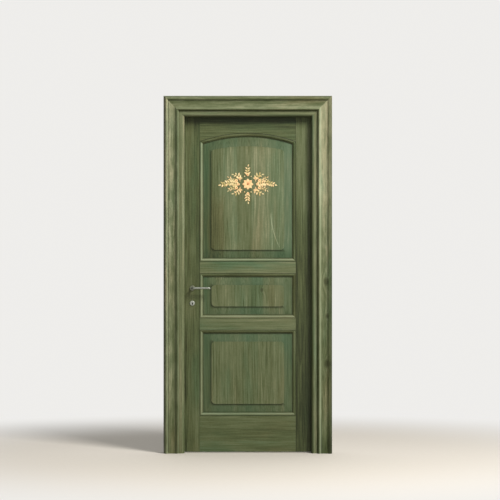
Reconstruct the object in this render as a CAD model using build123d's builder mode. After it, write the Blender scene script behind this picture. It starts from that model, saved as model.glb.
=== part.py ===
from build123d import *
from math import asin, cos, degrees, radians, sin, sqrt
import os

os.makedirs("parts", exist_ok=True)

# Interior door with its frame, seen from the side it is pushed from.
# X runs across the opening, Y through the wall away from the viewer, Z up.
# The origin is on the floor, midway across the opening and midway through the leaf.

# Opening and frame members
opening_width = 790
opening_height = 2095
member_thickness = 55
rebate_step = 15
frame_depth = 90
reveal_flat = 19
fixing_radius = 4.25
fixing_low = 350
fixing_top_drop = 145

# Front casing
casing_width = 95
casing_thickness = 22
nose_width = 11
nose_edge = 4
nose_bulge = 0.8
crest_width = 2
crest_height = 21
cove_depth = 8
cove_outer_height = 16
quirk_width = 3
quirk_height = 10
bead_width = 28
bead_crest = 13
bead_bulge = 2.2
bead_inner_height = 12
bead_outer_height = 3.5
bead_slope_bulge = 0.8
tongue_width = 5
tongue_depth = 10
tongue_inset = 9
relief_depth = 1.5
relief_start = 2
bearing_width = 12

# Back casing
back_casing_width = 80
back_casing_thickness = 12
back_casing_lap = 10
back_casing_round = 3.5
back_groove_radius = 2
back_groove_inset = 14

# Seal round the stop
seal_width = 9
seal_round = 1.5
seal_stem_width = 3.2
seal_stem_depth = 7.5
seal_inset = 6.5

# Leaf
leaf_thickness = 44
leaf_side_gap = 3.5
leaf_floor_gap = 5
lip_thickness = 15
lip_overlap = 10
lip_gap = 1
lip_round = 3
stop_gap = 4
stile_width = 105.5
tenon_length = 55
tenon_thickness = 12
tenon_shoulder = 9

# Rails, the two middle ones set by the handle between them
bottom_rail_top = 230
lower_rail_drop = 261
upper_rail_rise = 93
middle_rail_height = 72.5
top_rail_height = 161.5
arch_rise = 53

# Panels and the mouldings that hold them
panel_edge_thickness = 14
panel_edge_clearance = 2
panel_face_depth = 3.5
field_step = 5.5
margin_width = 50
margin_corner = 1
field_corner = 24
field_crest_drop = 59
field_rise = 24
moulding_width = 23.5
moulding_quirk_width = 3
moulding_quirk_depth = 4.5
moulding_top_depth = 1.5
moulding_bulge = 4.4
moulding_fillet_width = 4.5
moulding_fillet_height = 1.7
moulding_foot = 3.8

# Onlay ornament
ornament_drop = 267
ornament_half_width = 186
ornament_half_height = 127
ornament_thickness = 2
rosette_petal_count = 8
rosette_petal_length = 32
rosette_petal_width = 18
rosette_eye_radius = 10
rosette_petal_gap = 1
bead_ring_count = 16
bead_ring_radius = 53
bead_ring_bead = 3.6
spray_start = 62
side_leaf_length = 30
side_leaf_pairs = 6
upright_leaf_length = 26
upright_leaf_pairs = 3
diagonal_turn = 36
diagonal_reach = 122
diagonal_leaf_length = 24
diagonal_leaf_pairs = 3
leaf_slimness = 0.36
leaf_taper = 0.6
leaf_lead = 0.3
leaf_lean = 42
stem_width = 2.4

# Lock, handles and keyhole
backset = 60
handle_height = 1028
keyhole_drop = 94
faceplate_length = 196
faceplate_width = 18
faceplate_thickness = 3
lock_height = 165
lock_tail = 33
lock_thickness = 15
lock_wall = 2
lock_above_handle = 42
latch_height = 20
latch_width = 10
latch_throw = 10
latch_guide = 8
latch_tail_width = 4
latch_bar_height = 4
latch_above_handle = 2
bolt_height = 30
bolt_width = 10
bolt_throw = 14
bolt_guide = 15
bolt_tail_width = 4
bolt_tail_height = 16
bolt_above_keyhole = 25
follower_radius = 11
follower_boss = 9
follower_arm = 18.5
follower_arm_width = 6
follower_arm_gap = 1.5
spindle_side = 8
spindle_reach = 46
lever_turn = 40
rose_radius = 17
rose_thickness = 8
rose_round = 2
escutcheon_radius = 16
escutcheon_thickness = 6
escutcheon_round = 2
key_circle = 4.5
key_slot_width = 4.5
key_slot_drop = 12
collar_radius = 9
collar_length = 30
collar_round = 1.2
lever_reach = 56
lever_length = 118
lever_height = 14
lever_depth = 11
lever_bend = 16
lever_tip_drop = 8
lever_tip_return = 14
strike_length = 165
strike_width = 20
strike_thickness = 2
strike_fit = 1
pocket_fit = 1
pocket_margin = 6

# Hinges
hinge_low = 230
hinge_top_drop = 195
hinge_radius = 7
hinge_half_height = 45
hinge_pin_radius = 3.5
hinge_pin_reach = 35
hinge_shank_radius = 3.5
hinge_shank_length = 40
hinge_offset = 8.5
hinge_round = 1

# Screws
corner_screw_radius = 2.5
corner_screw_head = 5
corner_screw_length = 75
corner_screw_height = 35
corner_screw_front = 30
corner_screw_back = 15
lock_screw_radius = 2
lock_screw_head = 4
lock_screw_length = 22
screw_recess = 1.5
screw_slot = 1
grub_socket = 1
screw_end_margin = 8

# Clearances
slide_fit = 0.2
turn_fit = 0.05
press_fit = 0.02
wood_fit = 0.2
seat_gap = 0.3

# Planes that follow from the sizes above
opening_half = opening_width / 2
cheek_half = opening_half + rebate_step
frame_half = opening_half + member_thickness
leaf_front = -leaf_thickness / 2
leaf_back = leaf_thickness / 2
lip_front = leaf_back - lip_thickness
frame_back = lip_front - lip_gap
frame_front = frame_back - frame_depth
stop_face = leaf_front - stop_gap
leaf_half = cheek_half - leaf_side_gap
lip_half = cheek_half + lip_overlap
leaf_top = opening_height + rebate_step - leaf_side_gap
lip_top = opening_height + rebate_step + lip_overlap
shoulder_half = leaf_half - stile_width
hinge_x = lip_half + hinge_offset
hinge_y = leaf_back - lip_thickness / 2
edge_centre = (leaf_front + lip_front) / 2
handle_x = -(leaf_half - backset)
keyhole_height = handle_height - keyhole_drop
faceplate_back = -(leaf_half - faceplate_thickness)
lock_end = handle_x + lock_tail
lock_top = handle_height + lock_above_handle
lock_centre = lock_top - lock_height / 2
bolt_centre = keyhole_height + bolt_above_keyhole
latch_centre = handle_height + latch_above_handle
pocket_depth = bolt_throw - leaf_side_gap + pocket_margin
fixing_high = opening_height - fixing_top_drop
hinge_high = opening_height - hinge_top_drop
hinge_heights = (hinge_low, (hinge_low + hinge_high) / 2, hinge_high)
lower_rail_bottom = handle_height - lower_rail_drop
upper_rail_bottom = handle_height + upper_rail_rise
arch_spring = leaf_top - top_rail_height
ornament_height = arch_spring - ornament_drop

# Circle of the arched opening in the leaf
arch_radius = (shoulder_half**2 + arch_rise**2) / (2 * arch_rise)
arch_crest = arch_spring + arch_rise
arch_centre = arch_crest - arch_radius

# Mitres between the uprights and the head
mitre_right = Plane(origin=(opening_half, 0, opening_height), z_dir=(-1, 0, 1))
mitre_left = Plane(origin=(-opening_half, 0, opening_height), z_dir=(1, 0, 1))


# A frame member, casing or seal is one section, drawn outwards from the opening's edge
def upright(section):
    with BuildPart() as member:
        with BuildSketch(Plane(origin=(opening_half, 0, 0), x_dir=(1, 0, 0), z_dir=(0, 0, 1))):
            add(section)
        extrude(amount=opening_height + member_thickness + casing_width)
        split(bisect_by=mitre_right, keep=Keep.BOTTOM)
    return member.part


def head(section):
    with BuildPart() as member:
        with BuildSketch(Plane(origin=(0, 0, opening_height), x_dir=(0, 0, 1), z_dir=(-1, 0, 0))):
            add(section)
        extrude(amount=opening_half + member_thickness + casing_width, both=True)
        split(bisect_by=mitre_right, keep=Keep.TOP)
        split(bisect_by=mitre_left, keep=Keep.TOP)
    return member.part


# A countersunk screw pointing down from the plane of its head
def countersunk(head_radius, shank_radius, length):
    with BuildPart() as screw:
        with BuildSketch(Plane.XZ):
            with BuildLine():
                Polyline(
                    (0, 0),
                    (head_radius, 0),
                    (shank_radius, shank_radius - head_radius),
                    (shank_radius, -length),
                    (0, -length),
                    close=True,
                )
            make_face()
        revolve(axis=Axis.Z)
    return screw.part


def screw(head_radius, shank_radius, length):
    with BuildPart() as driven:
        add(countersunk(head_radius, shank_radius, length))
        with BuildSketch():
            Rectangle(head_radius, screw_slot)
            Rectangle(screw_slot, head_radius)
        extrude(amount=-screw_recess, mode=Mode.SUBTRACT)
    return driven.part


def screw_hole(head_radius, shank_radius, length):
    return countersunk(head_radius + turn_fit, shank_radius + turn_fit, length + seat_gap)


# Frame: a flat jamb board grooved for the casing, and a stop planted on its inner face
casing_inner = rebate_step + reveal_flat
casing_outer = casing_inner + casing_width
tongue_centre = casing_inner + tongue_inset

with BuildSketch() as jamb_section:
    with Locations((rebate_step, frame_front)):
        Rectangle(member_thickness - rebate_step, frame_depth, align=(Align.MIN, Align.MIN))
    with Locations((tongue_centre, frame_front)):
        Rectangle(
            tongue_width + 2 * wood_fit,
            tongue_depth + wood_fit,
            align=(Align.CENTER, Align.MIN),
            mode=Mode.SUBTRACT,
        )

# The stop's front edge is a quarter round, and its face to the leaf is grooved for the seal
with BuildSketch() as stop_section:
    with BuildLine():
        CenterArc((rebate_step, frame_front + rebate_step), rebate_step, 180, 90)
        Polyline(
            (rebate_step, frame_front),
            (rebate_step, stop_face),
            (0, stop_face),
            (0, frame_front + rebate_step),
        )
    make_face()
    with Locations((seal_inset, stop_face)):
        Rectangle(
            seal_stem_width + wood_fit,
            seal_stem_depth + wood_fit,
            align=(Align.CENTER, Align.MAX),
            mode=Mode.SUBTRACT,
        )

with BuildPart() as hinge_stop:
    add(upright(stop_section.sketch))
hinge_stop.part.label = "hinge_stop"
export_step(hinge_stop.part, "parts/hinge_stop.step")

with BuildPart() as strike_stop:
    mirror(hinge_stop.part, about=Plane.YZ)
strike_stop.part.label = "strike_stop"
export_step(strike_stop.part, "parts/strike_stop.step")

with BuildPart() as head_stop:
    add(head(stop_section.sketch))
head_stop.part.label = "head_stop"
export_step(head_stop.part, "parts/head_stop.step")

# Two screws hold each mitre, driven from the side through the upright into the head
corner_screw_planes = [
    Plane(
        origin=(side * frame_half, y, opening_height + corner_screw_height),
        x_dir=(0, 1, 0),
        z_dir=(side, 0, 0),
    )
    for side in (-1, 1)
    for y in (frame_front + corner_screw_front, frame_back - corner_screw_back)
]
corner_screw_hole = screw_hole(corner_screw_head, corner_screw_radius, corner_screw_length)

with BuildPart() as head_jamb:
    add(head(jamb_section.sketch))
    with Locations(corner_screw_planes):
        add(corner_screw_hole, mode=Mode.SUBTRACT)
head_jamb.part.label = "head_jamb"
export_step(head_jamb.part, "parts/head_jamb.step")

with BuildPart() as frame_corner_screws:
    with Locations(corner_screw_planes):
        add(screw(corner_screw_head, corner_screw_radius, corner_screw_length))
frame_corner_screws.part.label = "frame_corner_screws"
export_step(frame_corner_screws.part, "parts/frame_corner_screws.step")


# The upright of one side, with its wall fixings and corner screw holes; side is 1 for the hinges
def jamb_blank(side):
    fixings = [
        Plane(origin=(side * frame_half, edge_centre, height), z_dir=(side, 0, 0))
        for height in (fixing_low, (fixing_low + fixing_high) / 2, fixing_high)
    ]
    with BuildPart() as jamb:
        if side > 0:
            add(upright(jamb_section.sketch))
        else:
            add(mirror(upright(jamb_section.sketch), about=Plane.YZ, mode=Mode.PRIVATE))
        with Locations(corner_screw_planes):
            add(corner_screw_hole, mode=Mode.SUBTRACT)
        with Locations(fixings):
            Hole(fixing_radius, depth=member_thickness - rebate_step)
    return jamb.part


with BuildPart() as hinge_jamb:
    add(jamb_blank(1))
    for height in hinge_heights:
        with Locations(
            Plane(
                origin=(hinge_x, frame_back, height - hinge_half_height / 2),
                z_dir=(0, 1, 0),
            )
        ):
            Hole(hinge_shank_radius + turn_fit, depth=hinge_shank_length + seat_gap)
hinge_jamb.part.label = "hinge_jamb"
export_step(hinge_jamb.part, "parts/hinge_jamb.step")

# Strike plate let into the strike side's cheek, with a pocket behind each opening
strike_face = Plane(origin=(-cheek_half, edge_centre, lock_centre), x_dir=(0, 1, 0), z_dir=(1, 0, 0))
lock_holes = [
    (latch_centre - lock_centre, latch_height, latch_width),
    (bolt_centre - lock_centre, bolt_height, bolt_width),
]
strike_screw_planes = [
    strike_face.shift_origin(
        strike_face.from_local_coords((0, end * (strike_length / 2 - screw_end_margin), 0))
    )
    for end in (-1, 1)
]
lock_screw_hole = screw_hole(lock_screw_head, lock_screw_radius, lock_screw_length)

with BuildPart() as strike_jamb:
    add(jamb_blank(-1))
    with BuildSketch(strike_face):
        SlotOverall(strike_length + 2 * wood_fit, strike_width + 2 * wood_fit, rotation=90)
    extrude(amount=-strike_thickness, mode=Mode.SUBTRACT)
    with BuildSketch(strike_face):
        for place, tall, wide in lock_holes:
            with Locations((0, place)):
                Rectangle(wide + 2 * (strike_fit + pocket_fit), tall + 2 * (strike_fit + pocket_fit))
    extrude(amount=-pocket_depth, mode=Mode.SUBTRACT)
    with Locations(strike_screw_planes):
        add(lock_screw_hole, mode=Mode.SUBTRACT)
strike_jamb.part.label = "strike_jamb"
export_step(strike_jamb.part, "parts/strike_jamb.step")

with BuildPart() as strike_plate:
    with BuildSketch(strike_face):
        SlotOverall(strike_length, strike_width, rotation=90)
        for place, tall, wide in lock_holes:
            with Locations((0, place)):
                Rectangle(wide + 2 * strike_fit, tall + 2 * strike_fit, mode=Mode.SUBTRACT)
    extrude(amount=-strike_thickness)
    with Locations(strike_screw_planes):
        add(lock_screw_hole, mode=Mode.SUBTRACT)
strike_plate.part.label = "strike_plate"
export_step(strike_plate.part, "parts/strike_plate.step")

with BuildPart() as strike_plate_screws:
    with Locations(strike_screw_planes):
        add(screw(lock_screw_head, lock_screw_radius, lock_screw_length))
strike_plate_screws.part.label = "strike_plate_screws"
export_step(strike_plate_screws.part, "parts/strike_plate_screws.step")

# Front casing: rounded bead at the wall, quirk, wide cove, crest and nose. Behind it are a
# tongue and a shallow relief, so that it bears on the frame and on the wall only.
crest_inner = casing_inner + nose_width
crest_outer = crest_inner + crest_width
bead_inner = casing_outer - bead_width
bead_top = bead_inner + bead_crest
cove_outer = bead_inner - quirk_width
relief_inner = member_thickness + relief_start


def on_wall(out, height):
    return (out, frame_front - height)


# The middle of a line between two points of the section, moved away from the wall by a bulge
def bulged(start, end, bulge):
    run, rise = end[0] - start[0], end[1] - start[1]
    span = sqrt(run**2 + rise**2)
    return on_wall(
        (start[0] + end[0]) / 2 - bulge * rise / span, (start[1] + end[1]) / 2 + bulge * run / span
    )


with BuildSketch() as casing_section:
    with BuildLine():
        ThreePointArc(
            on_wall(casing_inner, nose_edge),
            bulged((casing_inner, nose_edge), (crest_inner, crest_height), nose_bulge),
            on_wall(crest_inner, crest_height),
        )
        Line(on_wall(crest_inner, crest_height), on_wall(crest_outer, crest_height))
        ThreePointArc(
            on_wall(crest_outer, crest_height),
            on_wall(
                (crest_outer + cove_outer) / 2,
                (crest_height + cove_outer_height) / 2 - cove_depth,
            ),
            on_wall(cove_outer, cove_outer_height),
        )
        Polyline(
            on_wall(cove_outer, cove_outer_height),
            on_wall(cove_outer, quirk_height),
            on_wall(bead_inner, quirk_height),
            on_wall(bead_inner, bead_inner_height),
        )
        ThreePointArc(
            on_wall(bead_inner, bead_inner_height),
            bulged((bead_inner, bead_inner_height), (bead_top, casing_thickness), bead_bulge),
            on_wall(bead_top, casing_thickness),
        )
        ThreePointArc(
            on_wall(bead_top, casing_thickness),
            bulged((bead_top, casing_thickness), (casing_outer, bead_outer_height), bead_slope_bulge),
            on_wall(casing_outer, bead_outer_height),
        )
        Polyline(
            on_wall(casing_outer, bead_outer_height),
            on_wall(casing_outer, 0),
            on_wall(casing_outer - bearing_width, 0),
            on_wall(casing_outer - bearing_width, relief_depth),
            on_wall(relief_inner, relief_depth),
            on_wall(relief_inner, 0),
            on_wall(tongue_centre + tongue_width / 2, 0),
            on_wall(tongue_centre + tongue_width / 2, -tongue_depth),
            on_wall(tongue_centre - tongue_width / 2, -tongue_depth),
            on_wall(tongue_centre - tongue_width / 2, 0),
            on_wall(casing_inner, 0),
            on_wall(casing_inner, nose_edge),
        )
    make_face()

with BuildPart() as front_casing_hinge:
    add(upright(casing_section.sketch))
front_casing_hinge.part.label = "front_casing_hinge"
export_step(front_casing_hinge.part, "parts/front_casing_hinge.step")

with BuildPart() as front_casing_strike:
    mirror(front_casing_hinge.part, about=Plane.YZ)
front_casing_strike.part.label = "front_casing_strike"
export_step(front_casing_strike.part, "parts/front_casing_strike.step")

with BuildPart() as front_casing_head:
    add(head(casing_section.sketch))
front_casing_head.part.label = "front_casing_head"
export_step(front_casing_head.part, "parts/front_casing_head.step")

# Back casing: a flat board with eased edges, two shallow grooves and the same relief behind
back_inner = member_thickness - back_casing_lap
back_outer = back_inner + back_casing_width

with BuildSketch() as back_casing_section:
    with Locations((back_inner, frame_back)):
        Rectangle(back_casing_width, back_casing_thickness, align=(Align.MIN, Align.MIN))
    fillet(back_casing_section.vertices().group_by(Axis.Y)[-1], radius=back_casing_round)
    with Locations(
        (back_inner + back_groove_inset, frame_back + back_casing_thickness),
        (back_outer - back_groove_inset, frame_back + back_casing_thickness),
    ):
        Circle(back_groove_radius, mode=Mode.SUBTRACT)
    with Locations((relief_inner, frame_back)):
        Rectangle(
            back_outer - bearing_width - relief_inner,
            relief_depth,
            align=(Align.MIN, Align.MIN),
            mode=Mode.SUBTRACT,
        )

with BuildPart() as back_casing_hinge:
    add(upright(back_casing_section.sketch))
back_casing_hinge.part.label = "back_casing_hinge"
export_step(back_casing_hinge.part, "parts/back_casing_hinge.step")

with BuildPart() as back_casing_strike:
    mirror(back_casing_hinge.part, about=Plane.YZ)
back_casing_strike.part.label = "back_casing_strike"
export_step(back_casing_strike.part, "parts/back_casing_strike.step")

with BuildPart() as back_casing_head:
    add(head(back_casing_section.sketch))
back_casing_head.part.label = "back_casing_head"
export_step(back_casing_head.part, "parts/back_casing_head.step")

# Rubber seal: a stem pressed in the stop's groove and a flat bulb that the leaf meets
with BuildSketch() as seal_section:
    with Locations((seal_inset, stop_face)):
        Rectangle(seal_width, stop_gap - seat_gap, align=(Align.CENTER, Align.MIN))
    fillet(seal_section.vertices().group_by(Axis.Y)[-1], radius=seal_round)
    with Locations((seal_inset, stop_face)):
        Rectangle(seal_stem_width, seal_stem_depth, align=(Align.CENTER, Align.MAX))

with BuildPart() as hinge_gasket:
    add(upright(seal_section.sketch))
hinge_gasket.part.label = "hinge_gasket"
export_step(hinge_gasket.part, "parts/hinge_gasket.step")

with BuildPart() as strike_gasket:
    mirror(hinge_gasket.part, about=Plane.YZ)
strike_gasket.part.label = "strike_gasket"
export_step(strike_gasket.part, "parts/strike_gasket.step")

with BuildPart() as head_gasket:
    add(head(seal_section.sketch))
head_gasket.part.label = "head_gasket"
export_step(head_gasket.part, "parts/head_gasket.step")

# Rails: lowest and highest point of each, and of its tenons
middle_rails = {
    "lower_middle_rail": (lower_rail_bottom, lower_rail_bottom + middle_rail_height),
    "upper_middle_rail": (upper_rail_bottom, upper_rail_bottom + middle_rail_height),
    "bottom_rail": (leaf_floor_gap, bottom_rail_top),
}
tenon_heights = [
    (low + tenon_shoulder, high - tenon_shoulder) for low, high in middle_rails.values()
] + [(arch_spring + tenon_shoulder, leaf_top - tenon_shoulder)]


def tenons(low, high):
    with BuildPart() as ends:
        with BuildSketch(Plane.XY.offset(low)):
            with GridLocations(2 * shoulder_half + tenon_length, 0, 2, 1):
                Rectangle(tenon_length, tenon_thickness)
        extrude(amount=high - low)
    return ends.part


for (label, (low, high)), tenon in zip(middle_rails.items(), tenon_heights):
    with BuildPart() as rail:
        with BuildSketch(Plane.XY.offset(low)):
            Rectangle(2 * shoulder_half, leaf_thickness)
        extrude(amount=high - low)
        add(tenons(*tenon))
    rail.part.label = label
    export_step(rail.part, f"parts/{label}.step")


# Height of an arc at distance across from its middle
def arc_height(radius, centre, across):
    return centre + sqrt(radius**2 - across**2)


# Outline with straight sides from low to spring, closed by an arc that rises to crest
def arched(half, low, spring, crest):
    with BuildSketch() as outline:
        with BuildLine():
            Polyline((-half, spring), (-half, low), (half, low), (half, spring))
            if crest > spring:
                ThreePointArc((half, spring), (0, crest), (-half, spring))
            else:
                Line((half, spring), (-half, spring))
        make_face()
    return outline.sketch


# The upper opening drawn in by inset all round, with its arc on the same centre
def upper_outline(inset, low):
    half = shoulder_half - inset
    spring = arc_height(arch_radius - inset, arch_centre, half)
    return arched(half, low + inset, spring, arch_crest - inset)


upper_low = upper_rail_bottom + middle_rail_height

with BuildPart() as top_rail:
    with BuildSketch(Plane.XZ.offset(leaf_front)):
        with Locations((0, arch_spring)):
            Rectangle(
                2 * shoulder_half, leaf_top - arch_spring, align=(Align.CENTER, Align.MIN)
            )
        add(upper_outline(0, upper_low), mode=Mode.SUBTRACT)
    extrude(amount=leaf_thickness)
    with BuildSketch(Plane.XZ.offset(-leaf_back)):
        with Locations((0, leaf_top)):
            Rectangle(2 * shoulder_half, lip_top - leaf_top, align=(Align.CENTER, Align.MIN))
    extrude(amount=lip_thickness)
    add(tenons(*tenon_heights[-1]))
    back_face = top_rail.faces().sort_by(Axis.Y)[-1]
    fillet(back_face.edges().sort_by(Axis.Z)[-1], radius=lip_round)
top_rail.part.label = "top_rail"
export_step(top_rail.part, "parts/top_rail.step")


# A stile on the hinge side, with its lip and the rails' mortises
def stile_blank():
    with BuildPart() as stile:
        with BuildSketch(Plane.XY.offset(leaf_floor_gap)):
            with Locations((shoulder_half, leaf_front)):
                Rectangle(stile_width, leaf_thickness, align=(Align.MIN, Align.MIN))
        extrude(amount=leaf_top - leaf_floor_gap)
        with BuildSketch(Plane.XY.offset(leaf_floor_gap)):
            with Locations((shoulder_half, lip_front)):
                Rectangle(lip_half - shoulder_half, lip_thickness, align=(Align.MIN, Align.MIN))
        extrude(amount=lip_top - leaf_floor_gap)
        back_face = stile.faces().sort_by(Axis.Y)[-1]
        lip_edges = [back_face.edges().sort_by(axis)[-1] for axis in (Axis.X, Axis.Z)]
        fillet(lip_edges, radius=lip_round)
        for low, high in tenon_heights:
            with BuildSketch(Plane.XY.offset(low - wood_fit)):
                with Locations((shoulder_half, 0)):
                    Rectangle(
                        tenon_length + wood_fit,
                        tenon_thickness + 2 * wood_fit,
                        align=(Align.MIN, Align.CENTER),
                    )
            extrude(amount=high - low + 2 * wood_fit, mode=Mode.SUBTRACT)
    return stile.part


with BuildPart() as hinge_stile:
    add(stile_blank())
    for height in hinge_heights:
        with Locations(
            Plane(
                origin=(lip_half, hinge_y, height + hinge_half_height / 2),
                z_dir=(1, 0, 0),
            )
        ):
            Hole(hinge_shank_radius + turn_fit, depth=hinge_shank_length + seat_gap)
hinge_stile.part.label = "hinge_stile"
export_step(hinge_stile.part, "parts/hinge_stile.step")

# Lock stile: recess for the faceplate, mortise for the lock, holes for spindle and key
lock_edge = Plane(origin=(-leaf_half, edge_centre, lock_centre), x_dir=(0, -1, 0), z_dir=(-1, 0, 0))
faceplate_screw_planes = [
    lock_edge.shift_origin(
        lock_edge.from_local_coords((0, end * (faceplate_length / 2 - screw_end_margin), 0))
    )
    for end in (-1, 1)
]
handle_axis = Plane(origin=(handle_x, 0, handle_height), x_dir=(1, 0, 0), z_dir=(0, -1, 0))
key_axis = Plane(origin=(handle_x, 0, keyhole_height), x_dir=(1, 0, 0), z_dir=(0, -1, 0))
lock_depth = lock_end - faceplate_back

with BuildPart() as lock_stile:
    mirror(stile_blank(), about=Plane.YZ)
    with BuildSketch(lock_edge):
        SlotOverall(
            faceplate_length + 2 * wood_fit, faceplate_width + 2 * wood_fit, rotation=90
        )
    extrude(amount=-faceplate_thickness, mode=Mode.SUBTRACT)
    with BuildSketch(lock_edge):
        Rectangle(lock_thickness + 2 * wood_fit, lock_height + 2 * wood_fit)
    extrude(amount=-(faceplate_thickness + lock_depth + wood_fit), mode=Mode.SUBTRACT)
    with Locations(faceplate_screw_planes):
        add(lock_screw_hole, mode=Mode.SUBTRACT)
    with BuildSketch(handle_axis):
        Circle(collar_radius + wood_fit)
    extrude(amount=leaf_thickness, both=True, mode=Mode.SUBTRACT)
    with BuildSketch(key_axis):
        Circle(key_circle + key_slot_drop / 2)
    extrude(amount=leaf_thickness, both=True, mode=Mode.SUBTRACT)
lock_stile.part.label = "lock_stile"
export_step(lock_stile.part, "parts/lock_stile.step")


def rounded(outline, radius):
    with BuildSketch() as shape:
        add(outline)
        fillet(shape.vertices(), radius=radius)
    return shape.sketch


# A panel raised on both faces: a thin edge, a sloping margin, a small step and a flat field
def raised_panel(edge_outline, margin_outline, field_outline):
    edge_half = panel_edge_thickness / 2
    face = leaf_thickness / 2 - panel_face_depth
    field = rounded(field_outline, field_corner)
    with BuildPart() as panel:
        with BuildSketch(Plane.XZ.offset(edge_half)):
            add(rounded(margin_outline, margin_corner))
        with BuildSketch(Plane.XZ.offset(face - field_step)):
            add(field)
        loft(ruled=True)
        with BuildSketch(Plane.XZ.offset(face - field_step)):
            add(field)
        extrude(amount=field_step)
        mirror(about=Plane.XZ)
        with BuildSketch(Plane.XZ):
            add(edge_outline)
        extrude(amount=edge_half, both=True)
    return panel.part


def straight_outline(inset, low, high):
    return arched(shoulder_half - inset, low + inset, high - inset, high - inset)


margin_inset = moulding_width + seat_gap
field_inset = moulding_width + margin_width
field_crest = arch_crest - moulding_width - field_crest_drop
panel_heights = {
    "bottom": (bottom_rail_top, lower_rail_bottom),
    "middle": (lower_rail_bottom + middle_rail_height, upper_rail_bottom),
}

for name, (low, high) in panel_heights.items():
    with BuildPart() as panel:
        add(
            raised_panel(
                straight_outline(panel_edge_clearance, low, high),
                straight_outline(margin_inset, low, high),
                straight_outline(field_inset, low, high),
            )
        )
    panel.part.label = f"{name}_panel"
    export_step(panel.part, f"parts/{name}_panel.step")

with BuildPart() as upper_panel:
    add(
        raised_panel(
            upper_outline(panel_edge_clearance, upper_low),
            upper_outline(margin_inset, upper_low),
            arched(
                shoulder_half - field_inset,
                upper_low + field_inset,
                field_crest - field_rise,
                field_crest,
            ),
        )
    )
upper_panel.part.label = "upper_panel"
export_step(upper_panel.part, "parts/upper_panel.step")

# Panel moulding section: X runs inwards from the stile or rail, Y out from the leaf's middle
moulding_face = leaf_thickness / 2
ovolo_end = moulding_width - moulding_fillet_width
ovolo_foot = panel_edge_thickness / 2 + moulding_foot + moulding_fillet_height
ovolo_top = moulding_face - moulding_top_depth
ovolo_run = ovolo_end - moulding_quirk_width
ovolo_fall = ovolo_top - ovolo_foot
ovolo_chord = sqrt(ovolo_run**2 + ovolo_fall**2)

with BuildSketch() as moulding_section:
    with BuildLine():
        Polyline(
            (moulding_quirk_width, ovolo_top),
            (moulding_quirk_width, moulding_face - moulding_quirk_depth),
            (0, moulding_face - moulding_quirk_depth),
            (0, panel_edge_thickness / 2),
            (moulding_width, panel_edge_thickness / 2),
            (moulding_width, ovolo_foot - moulding_fillet_height),
            (ovolo_end, ovolo_foot - moulding_fillet_height),
            (ovolo_end, ovolo_foot),
        )
        ThreePointArc(
            (ovolo_end, ovolo_foot),
            (
                moulding_quirk_width + ovolo_run / 2 + moulding_bulge * ovolo_fall / ovolo_chord,
                ovolo_foot + ovolo_fall / 2 + moulding_bulge * ovolo_run / ovolo_chord,
            ),
            (moulding_quirk_width, ovolo_top),
        )
    make_face()


# Corner of a panel opening, and the plane of its mitre, facing on round the opening
def mitre(outer, inner):
    across = Vector(inner[0] - outer[0], 0, inner[1] - outer[1])
    return Plane(origin=(outer[0], 0, outer[1]), z_dir=Vector(0, 1, 0).cross(across))


def straight_moulding(start, end, start_mitre, end_mitre):
    along = Vector(end[0] - start[0], 0, end[1] - start[1])
    inward = along.cross(Vector(0, 1, 0))
    with BuildPart() as length:
        with BuildSketch(Plane(origin=(start[0], 0, start[1]), x_dir=inward, z_dir=along)):
            add(moulding_section.sketch)
        extrude(amount=along.length)
        split(bisect_by=start_mitre, keep=Keep.TOP)
        split(bisect_by=end_mitre, keep=Keep.BOTTOM)
    return length.part


def arched_moulding(start_mitre, end_mitre):
    half_angle = degrees(asin(shoulder_half / arch_radius))
    radial = Vector(shoulder_half, 0, arch_spring - arch_centre).normalized()
    start = Vector(0, 0, arch_centre) + radial * (arch_radius - seat_gap)
    with BuildPart() as length:
        with BuildSketch(
            Plane(origin=start, x_dir=-radial, z_dir=radial.cross(Vector(0, 1, 0)) * -1)
        ):
            add(moulding_section.sketch)
        revolve(axis=Axis((0, 0, arch_centre), (0, -1, 0)), revolution_arc=2 * half_angle)
        split(bisect_by=start_mitre, keep=Keep.TOP)
        split(bisect_by=end_mitre, keep=Keep.BOTTOM)
    return length.part


# Four mitred lengths round an opening, starting at its lower left corner
def moulding_set(low, spring, inner_spring, arched_top):
    inner_half = shoulder_half - moulding_width
    corners = [
        ((-shoulder_half, low), (-inner_half, low + moulding_width)),
        ((shoulder_half, low), (inner_half, low + moulding_width)),
        ((shoulder_half, spring), (inner_half, inner_spring)),
        ((-shoulder_half, spring), (-inner_half, inner_spring)),
    ]
    lengths = []
    for index, (outer, inner) in enumerate(corners):
        next_outer, next_inner = corners[(index + 1) % len(corners)]
        start_mitre = mitre(outer, inner)
        end_mitre = mitre(next_outer, next_inner)
        if arched_top and index == 2:
            lengths.append(arched_moulding(start_mitre, end_mitre))
        else:
            lengths.append(straight_moulding(outer, next_outer, start_mitre, end_mitre))
    return lengths


upper_inner_spring = arc_height(
    arch_radius - moulding_width, arch_centre, shoulder_half - moulding_width
)
moulding_sets = {
    name: moulding_set(low, high, high - moulding_width, False)
    for name, (low, high) in panel_heights.items()
}
moulding_sets["upper"] = moulding_set(upper_low, arch_spring, upper_inner_spring, True)

for name, lengths in moulding_sets.items():
    front = Compound(label=f"front_{name}_moulding", children=lengths)
    export_step(front, f"parts/{front.label}.step")
    turned = [mirror(length, about=Plane.XZ, mode=Mode.PRIVATE) for length in lengths]
    back = Compound(label=f"back_{name}_moulding", children=turned)
    export_step(back, f"parts/{back.label}.step")


# Onlay ornament: a rosette in a ring of beads, with leaf sprays all round
def leaf_blade(length):
    width = length * leaf_slimness
    with BuildSketch() as blade:
        with BuildLine():
            ThreePointArc((0, 0), (length / 2, width / 2), (length, 0))
            ThreePointArc((length, 0), (length / 2, -width / 2), (0, 0))
        make_face()
    return blade.sketch


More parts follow.
